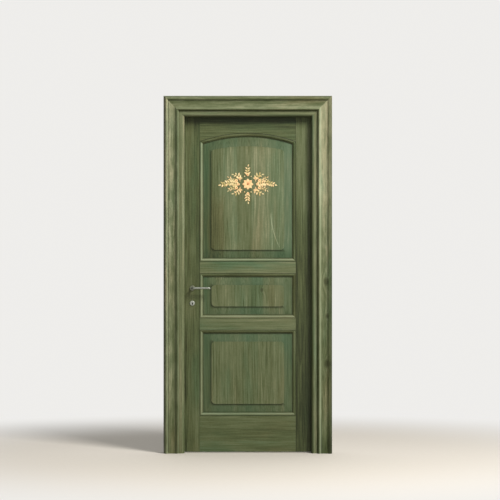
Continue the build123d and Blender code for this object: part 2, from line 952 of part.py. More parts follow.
# Leaf pairs along a stem that points to the right; tip is the far end of the last leaf
def spray(start, tip, longest, pairs):
    shortest = longest * leaf_taper
    spacing = (tip - shortest - start) / pairs
    with BuildSketch() as branch:
        with Locations((start, 0)):
            Rectangle(tip - shortest - start, stem_width, align=(Align.MIN, Align.CENTER))
        for index in range(pairs):
            length = longest + (shortest - longest) * index / pairs
            for side in (-1, 1):
                place = (start + spacing * (index + leaf_lead), side * stem_width, 0)
                with Locations(Location(place, (0, 0, side * leaf_lean))):
                    add(leaf_blade(length))
        with Locations((tip - shortest - stem_width, 0)):
            add(leaf_blade(shortest + stem_width))
    return branch.sketch


ornament_plane = Plane(
    origin=(0, -(leaf_thickness / 2 - panel_face_depth), ornament_height),
    x_dir=(1, 0, 0),
    z_dir=(0, -1, 0),
)

sprays = [
    (0, ornament_half_width, side_leaf_length, side_leaf_pairs),
    (90, ornament_half_height, upright_leaf_length, upright_leaf_pairs),
    (180, ornament_half_width, side_leaf_length, side_leaf_pairs),
    (270, ornament_half_height, upright_leaf_length, upright_leaf_pairs),
]
for turn in (diagonal_turn, 180 - diagonal_turn, 180 + diagonal_turn, -diagonal_turn):
    sprays.append((turn, diagonal_reach, diagonal_leaf_length, diagonal_leaf_pairs))

with BuildPart() as panel_ornament:
    with BuildSketch(ornament_plane):
        Circle(rosette_eye_radius)
        with PolarLocations(
            rosette_eye_radius + rosette_petal_gap + rosette_petal_length / 2, rosette_petal_count
        ):
            Ellipse(rosette_petal_length / 2, rosette_petal_width / 2)
        with PolarLocations(bead_ring_radius, bead_ring_count):
            Circle(bead_ring_bead)
        for turn, reach, longest, pairs in sprays:
            with Locations(Location((0, 0, 0), (0, 0, turn))):
                add(spray(spray_start, reach, longest, pairs))
    extrude(amount=ornament_thickness)
panel_ornament.part.label = "panel_ornament"
export_step(panel_ornament.part, "parts/panel_ornament.step")

# Faceplate on the leaf's edge, with openings for the latch and the bolt
with BuildPart() as lock_faceplate:
    with BuildSketch(lock_edge):
        SlotOverall(faceplate_length, faceplate_width, rotation=90)
        for place, tall, wide in lock_holes:
            with Locations((0, place)):
                Rectangle(wide + 2 * slide_fit, tall + 2 * slide_fit, mode=Mode.SUBTRACT)
    extrude(amount=-faceplate_thickness)
    with Locations(faceplate_screw_planes):
        add(lock_screw_hole, mode=Mode.SUBTRACT)
lock_faceplate.part.label = "lock_faceplate"
export_step(lock_faceplate.part, "parts/lock_faceplate.step")

with BuildPart() as faceplate_screws:
    with Locations(faceplate_screw_planes):
        add(screw(lock_screw_head, lock_screw_radius, lock_screw_length))
faceplate_screws.part.label = "faceplate_screws"
export_step(faceplate_screws.part, "parts/faceplate_screws.step")

# Lock case: an open tray closed by a cover on its far side
lock_front_y = edge_centre - lock_thickness / 2
lock_middle = (faceplate_back + lock_end) / 2
tray_plane = Plane(origin=(lock_middle, lock_front_y, lock_centre), x_dir=(1, 0, 0), z_dir=(0, -1, 0))
cover_plane = tray_plane.offset(-(lock_thickness - lock_wall))


# Round seat for the follower and shaped hole for the key, cut through one wall of the case
def case_holes():
    with BuildSketch() as holes:
        with Locations((handle_x - lock_middle, handle_height - lock_centre)):
            Circle(follower_boss + turn_fit)
        add(keyhole_shape(handle_x - lock_middle, keyhole_height - lock_centre))
    return holes.sketch


# A keyhole: a circle with a straight slot below it
def keyhole_shape(across, up):
    with BuildSketch() as hole:
        with Locations((across, up)):
            Circle(key_circle)
            Rectangle(key_slot_width, key_slot_drop, align=(Align.CENTER, Align.MAX))
    return hole.sketch


with BuildPart() as lock_case:
    with BuildSketch(tray_plane):
        Rectangle(lock_depth, lock_height)
    extrude(amount=-(lock_thickness - lock_wall))
    with BuildSketch(cover_plane):
        Rectangle(lock_depth - 2 * lock_wall, lock_height - 2 * lock_wall)
    extrude(amount=lock_thickness - 2 * lock_wall, mode=Mode.SUBTRACT)
    with BuildSketch(tray_plane):
        add(case_holes())
    extrude(amount=-lock_wall, mode=Mode.SUBTRACT)
    with BuildSketch(lock_edge.offset(-faceplate_thickness)):
        for place, tall, wide in lock_holes:
            with Locations((0, place)):
                Rectangle(wide + 2 * slide_fit, tall + 2 * slide_fit)
    extrude(amount=-lock_wall, mode=Mode.SUBTRACT)
lock_case.part.label = "lock_case"
export_step(lock_case.part, "parts/lock_case.step")

with BuildPart() as lock_cover:
    with BuildSketch(cover_plane):
        Rectangle(lock_depth, lock_height)
        add(case_holes(), mode=Mode.SUBTRACT)
    extrude(amount=-lock_wall)
lock_cover.part.label = "lock_cover"
export_step(lock_cover.part, "parts/lock_cover.step")

# Follower: a disc on two bosses, with a square hole and an arm that draws the latch
follower_side = spindle_side + wood_fit
follower_width = lock_thickness - 2 * lock_wall - 2 * slide_fit
follower_plane = Plane(
    origin=(handle_x, edge_centre, handle_height), x_dir=(1, 0, 0), z_dir=(0, -1, 0)
)

with BuildPart() as follower:
    with BuildSketch(follower_plane):
        Circle(follower_radius)
        Rectangle(follower_arm_width, follower_arm, align=(Align.CENTER, Align.MIN))
    extrude(amount=follower_width / 2, both=True)
    with BuildSketch(follower_plane):
        Circle(follower_boss)
    extrude(amount=lock_thickness / 2, both=True)
    with BuildSketch(follower_plane):
        Rectangle(follower_side, follower_side)
    extrude(amount=lock_thickness, both=True, mode=Mode.SUBTRACT)
follower.part.label = "follower"
export_step(follower.part, "parts/follower.step")

# Latch: a head, a rise behind it, a bar over the follower and a hook beyond the arm's reach.
# It is drawn in, flush with the faceplate, as when the door is about to be opened.
side_plane = Plane(origin=(0, edge_centre, 0), x_dir=(1, 0, 0), z_dir=(0, -1, 0))
turn = radians(lever_turn)
bar_low = handle_height + follower_arm + follower_arm_gap
bar_high = bar_low + latch_bar_height
arm_reach = follower_arm * sin(turn) + follower_arm_width / 2 * cos(turn)
hook_left = handle_x + arm_reach + latch_throw + 2 * slide_fit
hook_right = hook_left + latch_bar_height
hook_low = handle_height + follower_radius
latch_end = -leaf_half + faceplate_thickness + lock_wall + latch_throw + latch_guide

with BuildPart() as latch_bolt:
    with BuildSketch(side_plane):
        with Locations((-leaf_half, latch_centre)):
            Rectangle(latch_end + leaf_half, latch_height, align=(Align.MIN, Align.CENTER))
    extrude(amount=latch_width / 2, both=True)
    with BuildSketch(side_plane):
        with Locations((latch_end, latch_centre)):
            Rectangle(latch_bar_height, bar_high - latch_centre, align=(Align.MAX, Align.MIN))
        with Locations((latch_end, bar_low)):
            Rectangle(hook_right - latch_end, latch_bar_height, align=(Align.MIN, Align.MIN))
        with Locations((hook_left, hook_low)):
            Rectangle(hook_right - hook_left, bar_high - hook_low, align=(Align.MIN, Align.MIN))
    extrude(amount=latch_tail_width / 2, both=True)
latch_bolt.part.label = "latch_bolt"
export_step(latch_bolt.part, "parts/latch_bolt.step")

# Dead bolt: a square head and a thinner tail with a notch for the key
bolt_end = -leaf_half + faceplate_thickness + lock_wall + bolt_throw + bolt_guide
tail_end = lock_end - lock_wall - latch_bar_height

with BuildPart() as dead_bolt:
    with BuildSketch(side_plane):
        with Locations((-leaf_half, bolt_centre)):
            Rectangle(bolt_end + leaf_half, bolt_height, align=(Align.MIN, Align.CENTER))
    extrude(amount=bolt_width / 2, both=True)
    with BuildSketch(side_plane):
        with Locations((bolt_end, bolt_centre)):
            Rectangle(tail_end - bolt_end, bolt_tail_height, align=(Align.MIN, Align.CENTER))
        with Locations((handle_x, bolt_centre - bolt_tail_height / 2)):
            Circle(key_circle, mode=Mode.SUBTRACT)
    extrude(amount=bolt_tail_width / 2, both=True)
dead_bolt.part.label = "dead_bolt"
export_step(dead_bolt.part, "parts/dead_bolt.step")

# Square spindle through both levers and the follower
with BuildPart() as spindle:
    with BuildSketch(handle_axis):
        Rectangle(spindle_side, spindle_side)
    extrude(amount=spindle_reach, both=True)
spindle.part.label = "spindle"
export_step(spindle.part, "parts/spindle.step")

# Round rose and escutcheon on the viewer's face, and the same on the far one
with BuildPart() as front_rosette:
    with BuildSketch(handle_axis.offset(leaf_thickness / 2)):
        Circle(rose_radius)
    extrude(amount=rose_thickness)
    fillet(front_rosette.edges().sort_by(Axis.Y)[0], radius=rose_round)
    with BuildSketch(handle_axis.offset(leaf_thickness / 2)):
        Circle(collar_radius + turn_fit)
    extrude(amount=rose_thickness, mode=Mode.SUBTRACT)
front_rosette.part.label = "front_rosette"
export_step(front_rosette.part, "parts/front_rosette.step")

with BuildPart() as back_rosette:
    mirror(front_rosette.part, about=Plane.XZ)
back_rosette.part.label = "back_rosette"
export_step(back_rosette.part, "parts/back_rosette.step")

with BuildPart() as front_escutcheon:
    with BuildSketch(key_axis.offset(leaf_thickness / 2)):
        Circle(escutcheon_radius)
    extrude(amount=escutcheon_thickness)
    fillet(front_escutcheon.edges().sort_by(Axis.Y)[0], radius=escutcheon_round)
    with BuildSketch(key_axis.offset(leaf_thickness / 2)):
        add(keyhole_shape(0, 0))
    extrude(amount=escutcheon_thickness, mode=Mode.SUBTRACT)
front_escutcheon.part.label = "front_escutcheon"
export_step(front_escutcheon.part, "parts/front_escutcheon.step")

with BuildPart() as back_escutcheon:
    mirror(front_escutcheon.part, about=Plane.XZ)
back_escutcheon.part.label = "back_escutcheon"
export_step(back_escutcheon.part, "parts/back_escutcheon.step")

# Lever: a round collar, a neck, a bar towards the hinges and a tip that returns to the leaf
lever_face = -leaf_thickness / 2
bar_start = Vector(handle_x, lever_face - collar_length + lever_bend / 2, handle_height)
neck_end = Vector(handle_x, lever_face - lever_reach + lever_bend, handle_height)
bar_from = Vector(handle_x + lever_bend, lever_face - lever_reach, handle_height)
bar_to = Vector(handle_x + lever_length - lever_bend, lever_face - lever_reach, handle_height)
tip_turn = bar_to + Vector(
    lever_bend - lever_depth / 2, lever_tip_return, -lever_tip_drop
)
grub_plane = Plane(
    origin=(handle_x, lever_face - (rose_thickness + collar_length) / 2, handle_height - collar_radius),
    z_dir=(0, 0, -1),
)
grub_length = collar_radius - spindle_side / 2 - seat_gap

with BuildPart() as front_lever:
    with BuildSketch(handle_axis.offset(leaf_thickness / 2 + seat_gap)):
        Circle(collar_radius)
    extrude(amount=collar_length)
    fillet(front_lever.edges().sort_by(Axis.Y)[0], radius=collar_round)
    with BuildLine():
        neck = Line(bar_start, neck_end)
        TangentArc(neck_end, bar_from, tangent=neck % 1)
        grip = Line(bar_from, bar_to)
        TangentArc(bar_to, tip_turn, tangent=grip % 1)
    with BuildSketch(Plane(origin=bar_start, x_dir=(1, 0, 0), z_dir=(0, -1, 0))):
        Ellipse(lever_depth / 2, lever_height / 2)
    sweep()
    with BuildSketch(handle_axis.offset(leaf_thickness / 2)):
        Rectangle(spindle_side + wood_fit, spindle_side + wood_fit)
    extrude(amount=spindle_reach - leaf_thickness / 2 + seat_gap, mode=Mode.SUBTRACT)
    with Locations(grub_plane):
        Hole(lock_screw_radius + turn_fit, depth=collar_radius)
front_lever.part.label = "front_lever"
export_step(front_lever.part, "parts/front_lever.step")

with BuildPart() as back_lever:
    mirror(front_lever.part, about=Plane.XZ)
back_lever.part.label = "back_lever"
export_step(back_lever.part, "parts/back_lever.step")

# A grub screw under each collar bears on the spindle
with BuildPart() as grub_screw:
    with BuildSketch(grub_plane):
        Circle(lock_screw_radius)
        RegularPolygon(grub_socket, 6, mode=Mode.SUBTRACT)
    extrude(amount=-grub_length)

with BuildPart() as lever_grub_screws:
    add(grub_screw.part)
    mirror(grub_screw.part, about=Plane.XZ)
lever_grub_screws.part.label = "lever_grub_screws"
export_step(lever_grub_screws.part, "parts/lever_grub_screws.step")


# Hinge halves: a barrel with a shank; the pin is fast in the frame's half
def hinge_half(base, shank_plane, shank_reach, bore_radius, bore_low, bore_high):
    with BuildPart() as half:
        with BuildSketch(Plane(origin=(hinge_x, hinge_y, base))):
            Circle(hinge_radius)
        extrude(amount=hinge_half_height)
        fillet(half.edges(), radius=hinge_round)
        with BuildSketch(shank_plane):
            Circle(hinge_shank_radius)
        extrude(amount=shank_reach)
        with BuildSketch(Plane(origin=(hinge_x, hinge_y, bore_low))):
            Circle(bore_radius)
        extrude(amount=bore_high - bore_low, mode=Mode.SUBTRACT)
    return half.part


for place, height in zip(("bottom", "middle", "top"), hinge_heights):
    pin_low = height - hinge_pin_reach
    pin_high = height + hinge_pin_reach
    frame_shank = Plane(
        origin=(hinge_x, hinge_y, height - hinge_half_height / 2), z_dir=(0, -1, 0)
    )
    leaf_shank = Plane(
        origin=(hinge_x, hinge_y, height + hinge_half_height / 2), z_dir=(-1, 0, 0)
    )
    frame_reach = hinge_y - frame_back + hinge_shank_length
    leaf_reach = hinge_offset + hinge_shank_length
    frame_base = height - hinge_half_height
    leaf_base = height + seat_gap

    with BuildPart() as frame_hinge:
        add(
            hinge_half(
                frame_base,
                frame_shank,
                frame_reach,
                hinge_pin_radius + press_fit,
                pin_low,
                height,
            )
        )
    frame_hinge.part.label = f"{place}_hinge_frame_half"
    export_step(frame_hinge.part, f"parts/{place}_hinge_frame_half.step")

    with BuildPart() as leaf_hinge:
        add(
            hinge_half(
                leaf_base,
                leaf_shank,
                leaf_reach,
                hinge_pin_radius + turn_fit,
                leaf_base,
                pin_high + seat_gap,
            )
        )
    leaf_hinge.part.label = f"{place}_hinge_leaf_half"
    export_step(leaf_hinge.part, f"parts/{place}_hinge_leaf_half.step")

    with BuildPart() as pin:
        with BuildSketch(Plane(origin=(hinge_x, hinge_y, pin_low))):
            Circle(hinge_pin_radius)
        extrude(amount=pin_high - pin_low)
    pin.part.label = f"{place}_hinge_pin"
    export_step(pin.part, f"parts/{place}_hinge_pin.step")
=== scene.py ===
import math

import bmesh
import bpy
from mathutils import Matrix, Vector


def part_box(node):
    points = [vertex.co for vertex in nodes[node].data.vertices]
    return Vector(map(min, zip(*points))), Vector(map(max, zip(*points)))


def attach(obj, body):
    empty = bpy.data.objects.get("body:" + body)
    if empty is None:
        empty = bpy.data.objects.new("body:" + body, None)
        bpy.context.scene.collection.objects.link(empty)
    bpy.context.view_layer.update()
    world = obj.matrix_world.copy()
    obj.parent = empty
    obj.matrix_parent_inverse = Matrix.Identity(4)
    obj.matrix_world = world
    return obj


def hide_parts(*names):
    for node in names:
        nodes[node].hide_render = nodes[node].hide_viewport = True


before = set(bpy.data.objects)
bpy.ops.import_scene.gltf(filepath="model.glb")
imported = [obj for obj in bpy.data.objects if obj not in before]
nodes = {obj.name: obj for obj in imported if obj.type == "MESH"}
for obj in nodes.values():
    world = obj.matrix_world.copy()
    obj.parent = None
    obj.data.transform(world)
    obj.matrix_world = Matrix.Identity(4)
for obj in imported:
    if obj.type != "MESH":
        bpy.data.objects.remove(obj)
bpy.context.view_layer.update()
print("frame loaded:", len(nodes), "nodes")

scene = bpy.context.scene
scene.view_settings.view_transform = "Standard"


# Camera: straight on, at eye height, with the small shift that frames the door
view = {
    "distance": 12.0, "eyeHeight": 1.128, "widthAtFront": 3.1043, "shiftX": 0.0044, "shiftY": 0.0442,
    "sensorWidth": 36, "farEnd": 60,
}

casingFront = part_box("front_casing_head")[0].y
cameraData = bpy.data.cameras.new("camera")
cameraData.sensor_width = view["sensorWidth"]
cameraData.lens = view["sensorWidth"] * view["distance"] / view["widthAtFront"]
cameraData.shift_x = view["shiftX"]
cameraData.shift_y = view["shiftY"]
cameraData.clip_end = view["farEnd"]
camera = bpy.data.objects.new("camera", cameraData)
camera.location = (0, casingFront - view["distance"], view["eyeHeight"])
camera.rotation_euler = (math.radians(90), 0, 0)
scene.collection.objects.link(camera)
scene.camera = camera


# Lamps: a soft one high on the right, and a weak one low in front of the door
lamps = {
    "keyLamp": {"place": (3.1, -4.9, 5.8), "aim": (0, 0, 1.1), "size": 2.2, "power": 640,
                "tint": (1, 0.975, 0.92)},
    "fillLamp": {"place": (1.2, -5.5, 1.2), "aim": (0, 0, 1.0), "size": 2.5, "power": 30,
                 "tint": (1, 0.985, 0.95)},
}

for name, look in lamps.items():
    lampData = bpy.data.lights.new(name, "AREA")
    lampData.shape = "SQUARE"
    lampData.size = look["size"]
    lampData.energy = look["power"]
    lampData.color = look["tint"]
    lamp = bpy.data.objects.new(name, lampData)
    lamp.location = look["place"]
    direction = Vector(look["aim"]) - Vector(look["place"])
    lamp.rotation_euler = direction.to_track_quat("-Z", "Y").to_euler()
    scene.collection.objects.link(lamp)


# Small helpers for node trees
def plug(tree, value, socket):
    if isinstance(value, bpy.types.NodeSocket):
        tree.links.new(value, socket)
    else:
        socket.default_value = value


def addNode(tree, kind, inputs=None, **settings):
    node = tree.nodes.new(kind)
    for key, value in settings.items():
        setattr(node, key, value)
    for key, value in (inputs or {}).items():
        plug(tree, value, node.inputs[key])
    return node


def calc(tree, operation, *values):
    return addNode(tree, "ShaderNodeMath", dict(enumerate(values)), operation=operation).outputs[0]


def ramp(tree, value, low, high, toLow=0.0, toHigh=1.0, smooth=True):
    inputs = dict(enumerate((value, low, high, toLow, toHigh)))
    kind = "SMOOTHSTEP" if smooth else "LINEAR"
    return addNode(tree, "ShaderNodeMapRange", inputs, interpolation_type=kind).outputs[0]


def combine(tree, x, y, z):
    return addNode(tree, "ShaderNodeCombineXYZ", {0: x, 1: y, 2: z}).outputs[0]


def separate(tree, vector):
    return addNode(tree, "ShaderNodeSeparateXYZ", {0: vector}).outputs


def noise(tree, vector, scale, detail=3.0, rough=0.6):
    inputs = {"Vector": vector, "Scale": scale, "Detail": detail, "Roughness": rough}
    return addNode(tree, "ShaderNodeTexNoise", inputs).outputs[0]


def blendColour(tree, factor, first, second, mode="MIX"):
    inputs = {0: factor, 6: first, 7: second}
    return addNode(tree, "ShaderNodeMix", inputs, data_type="RGBA", blend_type=mode).outputs[2]


def colour(red, green, blue):  # 0-255 as picked from a colour chart, to the linear values that nodes take
    linear = [((v / 255 + 0.055) / 1.055) ** 2.4 if v > 10 else v / 255 / 12.92 for v in (red, green, blue)]
    return (*linear, 1.0)


def colourRamp(tree, value, stops):
    node = addNode(tree, "ShaderNodeValToRGB", {0: value})
    elements = node.color_ramp.elements
    while len(elements) < len(stops):
        elements.new(0.5)
    for element, (position, tone) in zip(elements, stops):
        element.position = position
        element.color = tone
    return node.outputs[0]


def vary(tree, value, signal, amount):  # moves a value up and down with a signal that runs from 0 to 1
    return calc(tree, "MULTIPLY_ADD", calc(tree, "SUBTRACT", signal, 0.5), amount, value)


def hypotenuse(tree, first, second):
    secondSquared = calc(tree, "MULTIPLY", second, second)
    return calc(tree, "SQRT", calc(tree, "MULTIPLY_ADD", first, first, secondSquared))


def newMaterial(name, viewColour):
    material = bpy.data.materials.new(name)
    material.use_nodes = True
    material.diffuse_color = viewColour
    tree = material.node_tree
    shader = tree.nodes["Principled BSDF"]
    position = tree.nodes.new("ShaderNodeTexCoord").outputs["Object"]
    return material, tree, shader, position


def addBump(tree, shader, height, strength, distance):
    inputs = {"Strength": strength, "Distance": distance, "Height": height}
    tree.links.new(addNode(tree, "ShaderNodeBump", inputs).outputs[0], shader.inputs["Normal"])


# Stained softwood. Fibres run along one axis; staves are glued side by side across it.
# The rubbed colour is also a painted highlight, and the sunken and deep colours also paint shade in the
# recesses, in the creases and along the raised field's step
stain = {
    "deep": colour(38, 44, 20), "dark": colour(74, 83, 51), "middle": colour(101, 108, 78),
    "pale": colour(161, 158, 128), "rubbed": colour(172, 182, 152), "sunken": colour(56, 81, 58),
    "knot": colour(50, 52, 28), "coolTint": (0.66, 0.92, 0.94, 1), "warmTint": (1.12, 0.94, 0.9, 1),
    "tones": ((0.0, "deep"), (0.3, "dark"), (0.58, "middle"), (1.0, "pale")),
}
fibreNoise = {  # how far it is squeezed across and along the fibres, then scale, detail and roughness
    "flow": (3.0, 1.1, 2.2, 3.0, 0.55),
    "fine": (1.0, 0.035, 170.0, 3.0, 0.6),
    "streaks": (1.0, 0.024, 70.0, 5.0, 0.62),
    "pores": (1.0, 0.03, 900.0, 2.0, 0.5),
    "clouds": (1.6, 0.7, 3.6, 4.0, 0.6),
    "mottle": (4.5, 1.0, 9.0, 6.0, 0.68),
    "hue": (2.4, 0.5, 3.3, 3.0, 0.6),
}
boardSteps = {"clouds": (3.1, 0.5), "mottle": (1.3, 0.0), "hue": (5.7, 0.0)}  # step by seed, and the start
stave = {"start": 37.3, "seedStep": 1.7, "uneven": 0.55, "apart": 9.0}
growth = {  # rings: how far apart, where the log's heart lies, and where the late wood darkens
    "spacing": 0.0042, "heartAside": 0.09, "heartDepth": 0.035, "depthSpread": 0.05, "ragged": 0.9,
    "lateStart": 0.35, "lateFull": 0.9, "lateEnd": 0.93,
}
knot = {
    "stretch": 1.5, "core": 0.4, "rim": 1.15, "rings": 19.0, "fade": -0.28, "push": 1.6, "dark": 0.7,
    "lines": 0.45,
}
figure = {"shown": 0.15, "fading": 0.85, "gone": 1.1}  # as shares of the figure's length
uptake = {  # the noise values at which each starts and is full
    "pores": (0.58, 0.8), "patches": (0.35, 0.65), "cool": (0.5, 0.7), "warm": (0.5, 0.3),
    "poreDark": 0.1, "specks": 0.22, "speckNoise": (95.0, 4.0, 0.7),
}
wearAndLight = {
    "patinaShadeSpan": (-0.2, 0.2), "patinaUneven": 0.9, "rub": 0.9, "rubUneven": 1.2,
    "jointLine": 0.0004, "jointFade": 0.0026, "jointDark": 0.75,
}
surface = {
    "rough": 0.46, "roughFine": 0.12, "roughLate": 0.05, "specular": 0.18, "coat": 0.05, "coatRough": 0.3,
    "fibreRelief": 0.5, "poreRelief": 0.6, "bump": 0.35, "bumpHeight": 0.0006,
}
woodDefaults = {
    "lift": 0.0, "waver": 0.012, "tilt": 0.03, "streaks": 0.72, "lines": 0.6, "rings": 0.12, "clouds": 0.4,
    "mottle": 0.0, "staveTone": 0.16, "staveHue": 0.12, "hue": 0.0, "cool": 0.6, "warm": 0.6,
    "knots": (), "figures": (), "fades": (), "hueFades": (), "shadedCreasesAndJoints": (), "rubsAndHighlights": (),
    "shade": 0.0, "recess": None, "step": None, "joint": None,
}
opening = {"halfWidth": 0.395, "height": 2.095}


# Of a mitred set: distance in from its outer edge, then two answers, 1 or 0: whether the top or bottom
# length is the nearest, and whether the nearest is the left or the bottom one, which sets the side of the
# painted shade and highlights
def mitredEdge(tree, x, z, look):
    low, high, halfWidth = look["mitres"]
    toSide = calc(tree, "SUBTRACT", halfWidth, calc(tree, "ABSOLUTE", x))
    toHigh = calc(tree, "SUBTRACT", high, z)
    if "archRadius" in look:
        centre = look["archCrest"] - look["archRadius"]
        fromCentre = hypotenuse(tree, x, calc(tree, "SUBTRACT", z, centre))
        toHigh = calc(tree, "SUBTRACT", look["archRadius"], fromCentre)
    toLow = calc(tree, "SUBTRACT", z, low)
    toEnd = calc(tree, "MINIMUM", toLow, toHigh)
    level = calc(tree, "LESS_THAN", toEnd, toSide)
    onLeft = calc(tree, "LESS_THAN", x, 0.0)
    onBottom = calc(tree, "LESS_THAN", toLow, toHigh)
    leftOrBottom = calc(tree, "MULTIPLY_ADD", level, calc(tree, "SUBTRACT", onBottom, onLeft), onLeft)
    return calc(tree, "MINIMUM", toEnd, toSide), level, leftOrBottom


# Along and across the fibres, depth through the wall, and the distance that the painted crease shade and
# the rubs are set by: out from the opening, or in from a mitred set's outer edge. Also the side of a
# mitred set, or of a panel's raised field, that the painted shade and highlights go by.
def fibreAxes(tree, position, look):
    x, y, z = separate(tree, position)
    leftOrBottom = 1.0
    if look["grain"] == "up":
        along, across = z, x
        edge = calc(tree, "SUBTRACT", calc(tree, "ABSOLUTE", x), opening["halfWidth"])
        # the side of the raised field that takes the painted step shadow
        if look["step"]:
            leftOrBottom = mitredEdge(tree, x, z, look)[2]
    elif look["grain"] == "across":
        along, across = x, z
        edge = calc(tree, "SUBTRACT", z, opening["height"])
    else:
        edge, level, leftOrBottom = mitredEdge(tree, x, z, look)
        along = calc(tree, "MULTIPLY_ADD", level, calc(tree, "SUBTRACT", x, z), z)
        across = calc(tree, "MULTIPLY_ADD", level, calc(tree, "SUBTRACT", z, x), x)
    return {"x": x, "z": z, "depth": y, "along": along, "across": across, "edge": edge,
            "leftOrBottom": leftOrBottom}


def fibrous(tree, axes, kind, sideways, inward):
    acrossScale, alongScale, scale, detail, rough = fibreNoise[kind]
    across = calc(tree, "MULTIPLY", sideways, acrossScale)
    along = calc(tree, "MULTIPLY", axes["along"], alongScale)
    return noise(tree, combine(tree, across, inward, along), scale, detail, rough)


def boardNoise(tree, axes, look, kind):  # each board lies elsewhere in the noise
    step, start = boardSteps[kind]
    inward = calc(tree, "ADD", axes["depth"], look["seed"] * step + start)
    return fibrous(tree, axes, kind, axes["across"], inward)


def knotField(tree, axes, look):  # knots push the fibres aside, darken the middle and show their own rings
    mask, push, rings = 0.0, 0.0, 0.0
    for knotAcross, knotAlong, radius in look["knots"]:
        aside = calc(tree, "DIVIDE", calc(tree, "SUBTRACT", axes["across"], knotAcross), radius)
        beyond = calc(tree, "SUBTRACT", axes["along"], knotAlong)
        ahead = calc(tree, "DIVIDE", beyond, radius * knot["stretch"])
        away = hypotenuse(tree, aside, ahead)
        inside = ramp(tree, away, knot["core"], knot["rim"], 1.0, 0.0)
        mask = calc(tree, "MAXIMUM", mask, inside)
        wave = calc(tree, "SINE", calc(tree, "MULTIPLY", away, knot["rings"]))
        rings = calc(tree, "MAXIMUM", rings, calc(tree, "MULTIPLY", inside, wave))
        awaySquared = calc(tree, "MULTIPLY", away, away)
        near = calc(tree, "EXPONENT", calc(tree, "MULTIPLY", awaySquared, knot["fade"]))
        push = calc(tree, "MULTIPLY_ADD", near, radius * knot["push"], push)
    return mask, push, rings


def lightFigure(tree, axes, look):  # a pale line that leaves the straight grain in a long curve
    light = 0.0
    for startX, startZ, sideways, down, halfWidth, amount in look["figures"]:
        share = calc(tree, "DIVIDE", calc(tree, "SUBTRACT", startZ, axes["z"]), down)
        path = calc(tree, "MULTIPLY_ADD", calc(tree, "MULTIPLY", share, share), sideways, startX)
        away = calc(tree, "ABSOLUTE", calc(tree, "SUBTRACT", axes["x"], path))
        line = ramp(tree, away, 0.0, halfWidth, amount, 0.0)
        fadeIn = ramp(tree, share, 0.0, figure["shown"])
        fadeOut = ramp(tree, share, figure["fading"], figure["gone"], 1.0, 0.0)
        light = calc(tree, "MULTIPLY_ADD", line, calc(tree, "MULTIPLY", fadeIn, fadeOut), light)
    return light


def woodFibres(tree, axes, look):
    along, across, depth = axes["along"], axes["across"], axes["depth"]

    # Staves: each has its own place in the log, its own tone and hue
    firstStave = stave["start"] + look["seed"] * stave["seedStep"]
    count = calc(tree, "ADD", calc(tree, "DIVIDE", across, look["stave"]), firstStave)
    cells = addNode(tree, "ShaderNodeTexVoronoi", {"W": count, "Scale": 1.0, "Randomness": stave["uneven"]},
                    voronoi_dimensions="1D").outputs
    place, toneDraw, hueDraw = addNode(tree, "ShaderNodeSeparateColor", {0: cells["Color"]}).outputs
    shift = calc(tree, "MULTIPLY", place, stave["apart"])

    # The fibres waver a little and go round the knots
    flow = fibrous(tree, axes, "flow", across, shift)
    knotMask, push, knotRings = knotField(tree, axes, look)
    waver = calc(tree, "MULTIPLY_ADD", calc(tree, "SUBTRACT", flow, 0.5), look["waver"], push)
    bent = calc(tree, "ADD", across, waver)
    fibre = calc(tree, "ADD", bent, shift)
    fine = fibrous(tree, axes, "fine", fibre, depth)

    # Growth rings: a flat cut through slightly tilted cones
    fromMiddle = calc(tree, "MULTIPLY", calc(tree, "SUBTRACT", count, cells["W"]), look["stave"])
    ringX = vary(tree, calc(tree, "ADD", fromMiddle, waver), toneDraw, growth["heartAside"])
    heart = calc(tree, "MULTIPLY_ADD", place, growth["depthSpread"], growth["heartDepth"])
    tilt = calc(tree, "MULTIPLY", calc(tree, "SUBTRACT", hueDraw, 0.5), look["tilt"])
    ringY = calc(tree, "ADD", calc(tree, "ADD", depth, heart), calc(tree, "MULTIPLY", along, tilt))
    rings = calc(tree, "DIVIDE", hypotenuse(tree, ringX, ringY), growth["spacing"])
    cycle = calc(tree, "FRACT", calc(tree, "MULTIPLY_ADD", fine, growth["ragged"], rings))
    late = calc(tree, "MULTIPLY", ramp(tree, cycle, growth["lateStart"], growth["lateFull"]),
                ramp(tree, cycle, growth["lateEnd"], 1.0, 1.0, 0.0))
    return {
        "fine": fine, "late": late, "toneDraw": toneDraw, "hueDraw": hueDraw,
        "streaks": fibrous(tree, axes, "streaks", fibre, depth),
        "pores": fibrous(tree, axes, "pores", bent, depth),
        "clouds": boardNoise(tree, axes, look, "clouds"),
        "knotMask": knotMask, "knotRings": knotRings,
    }


def addFades(tree, value, axes, fades):
    for axis, start, end, amount in fades:
        value = calc(tree, "ADD", value, ramp(tree, axes[axis], start, end, 0.0, amount))
    return value


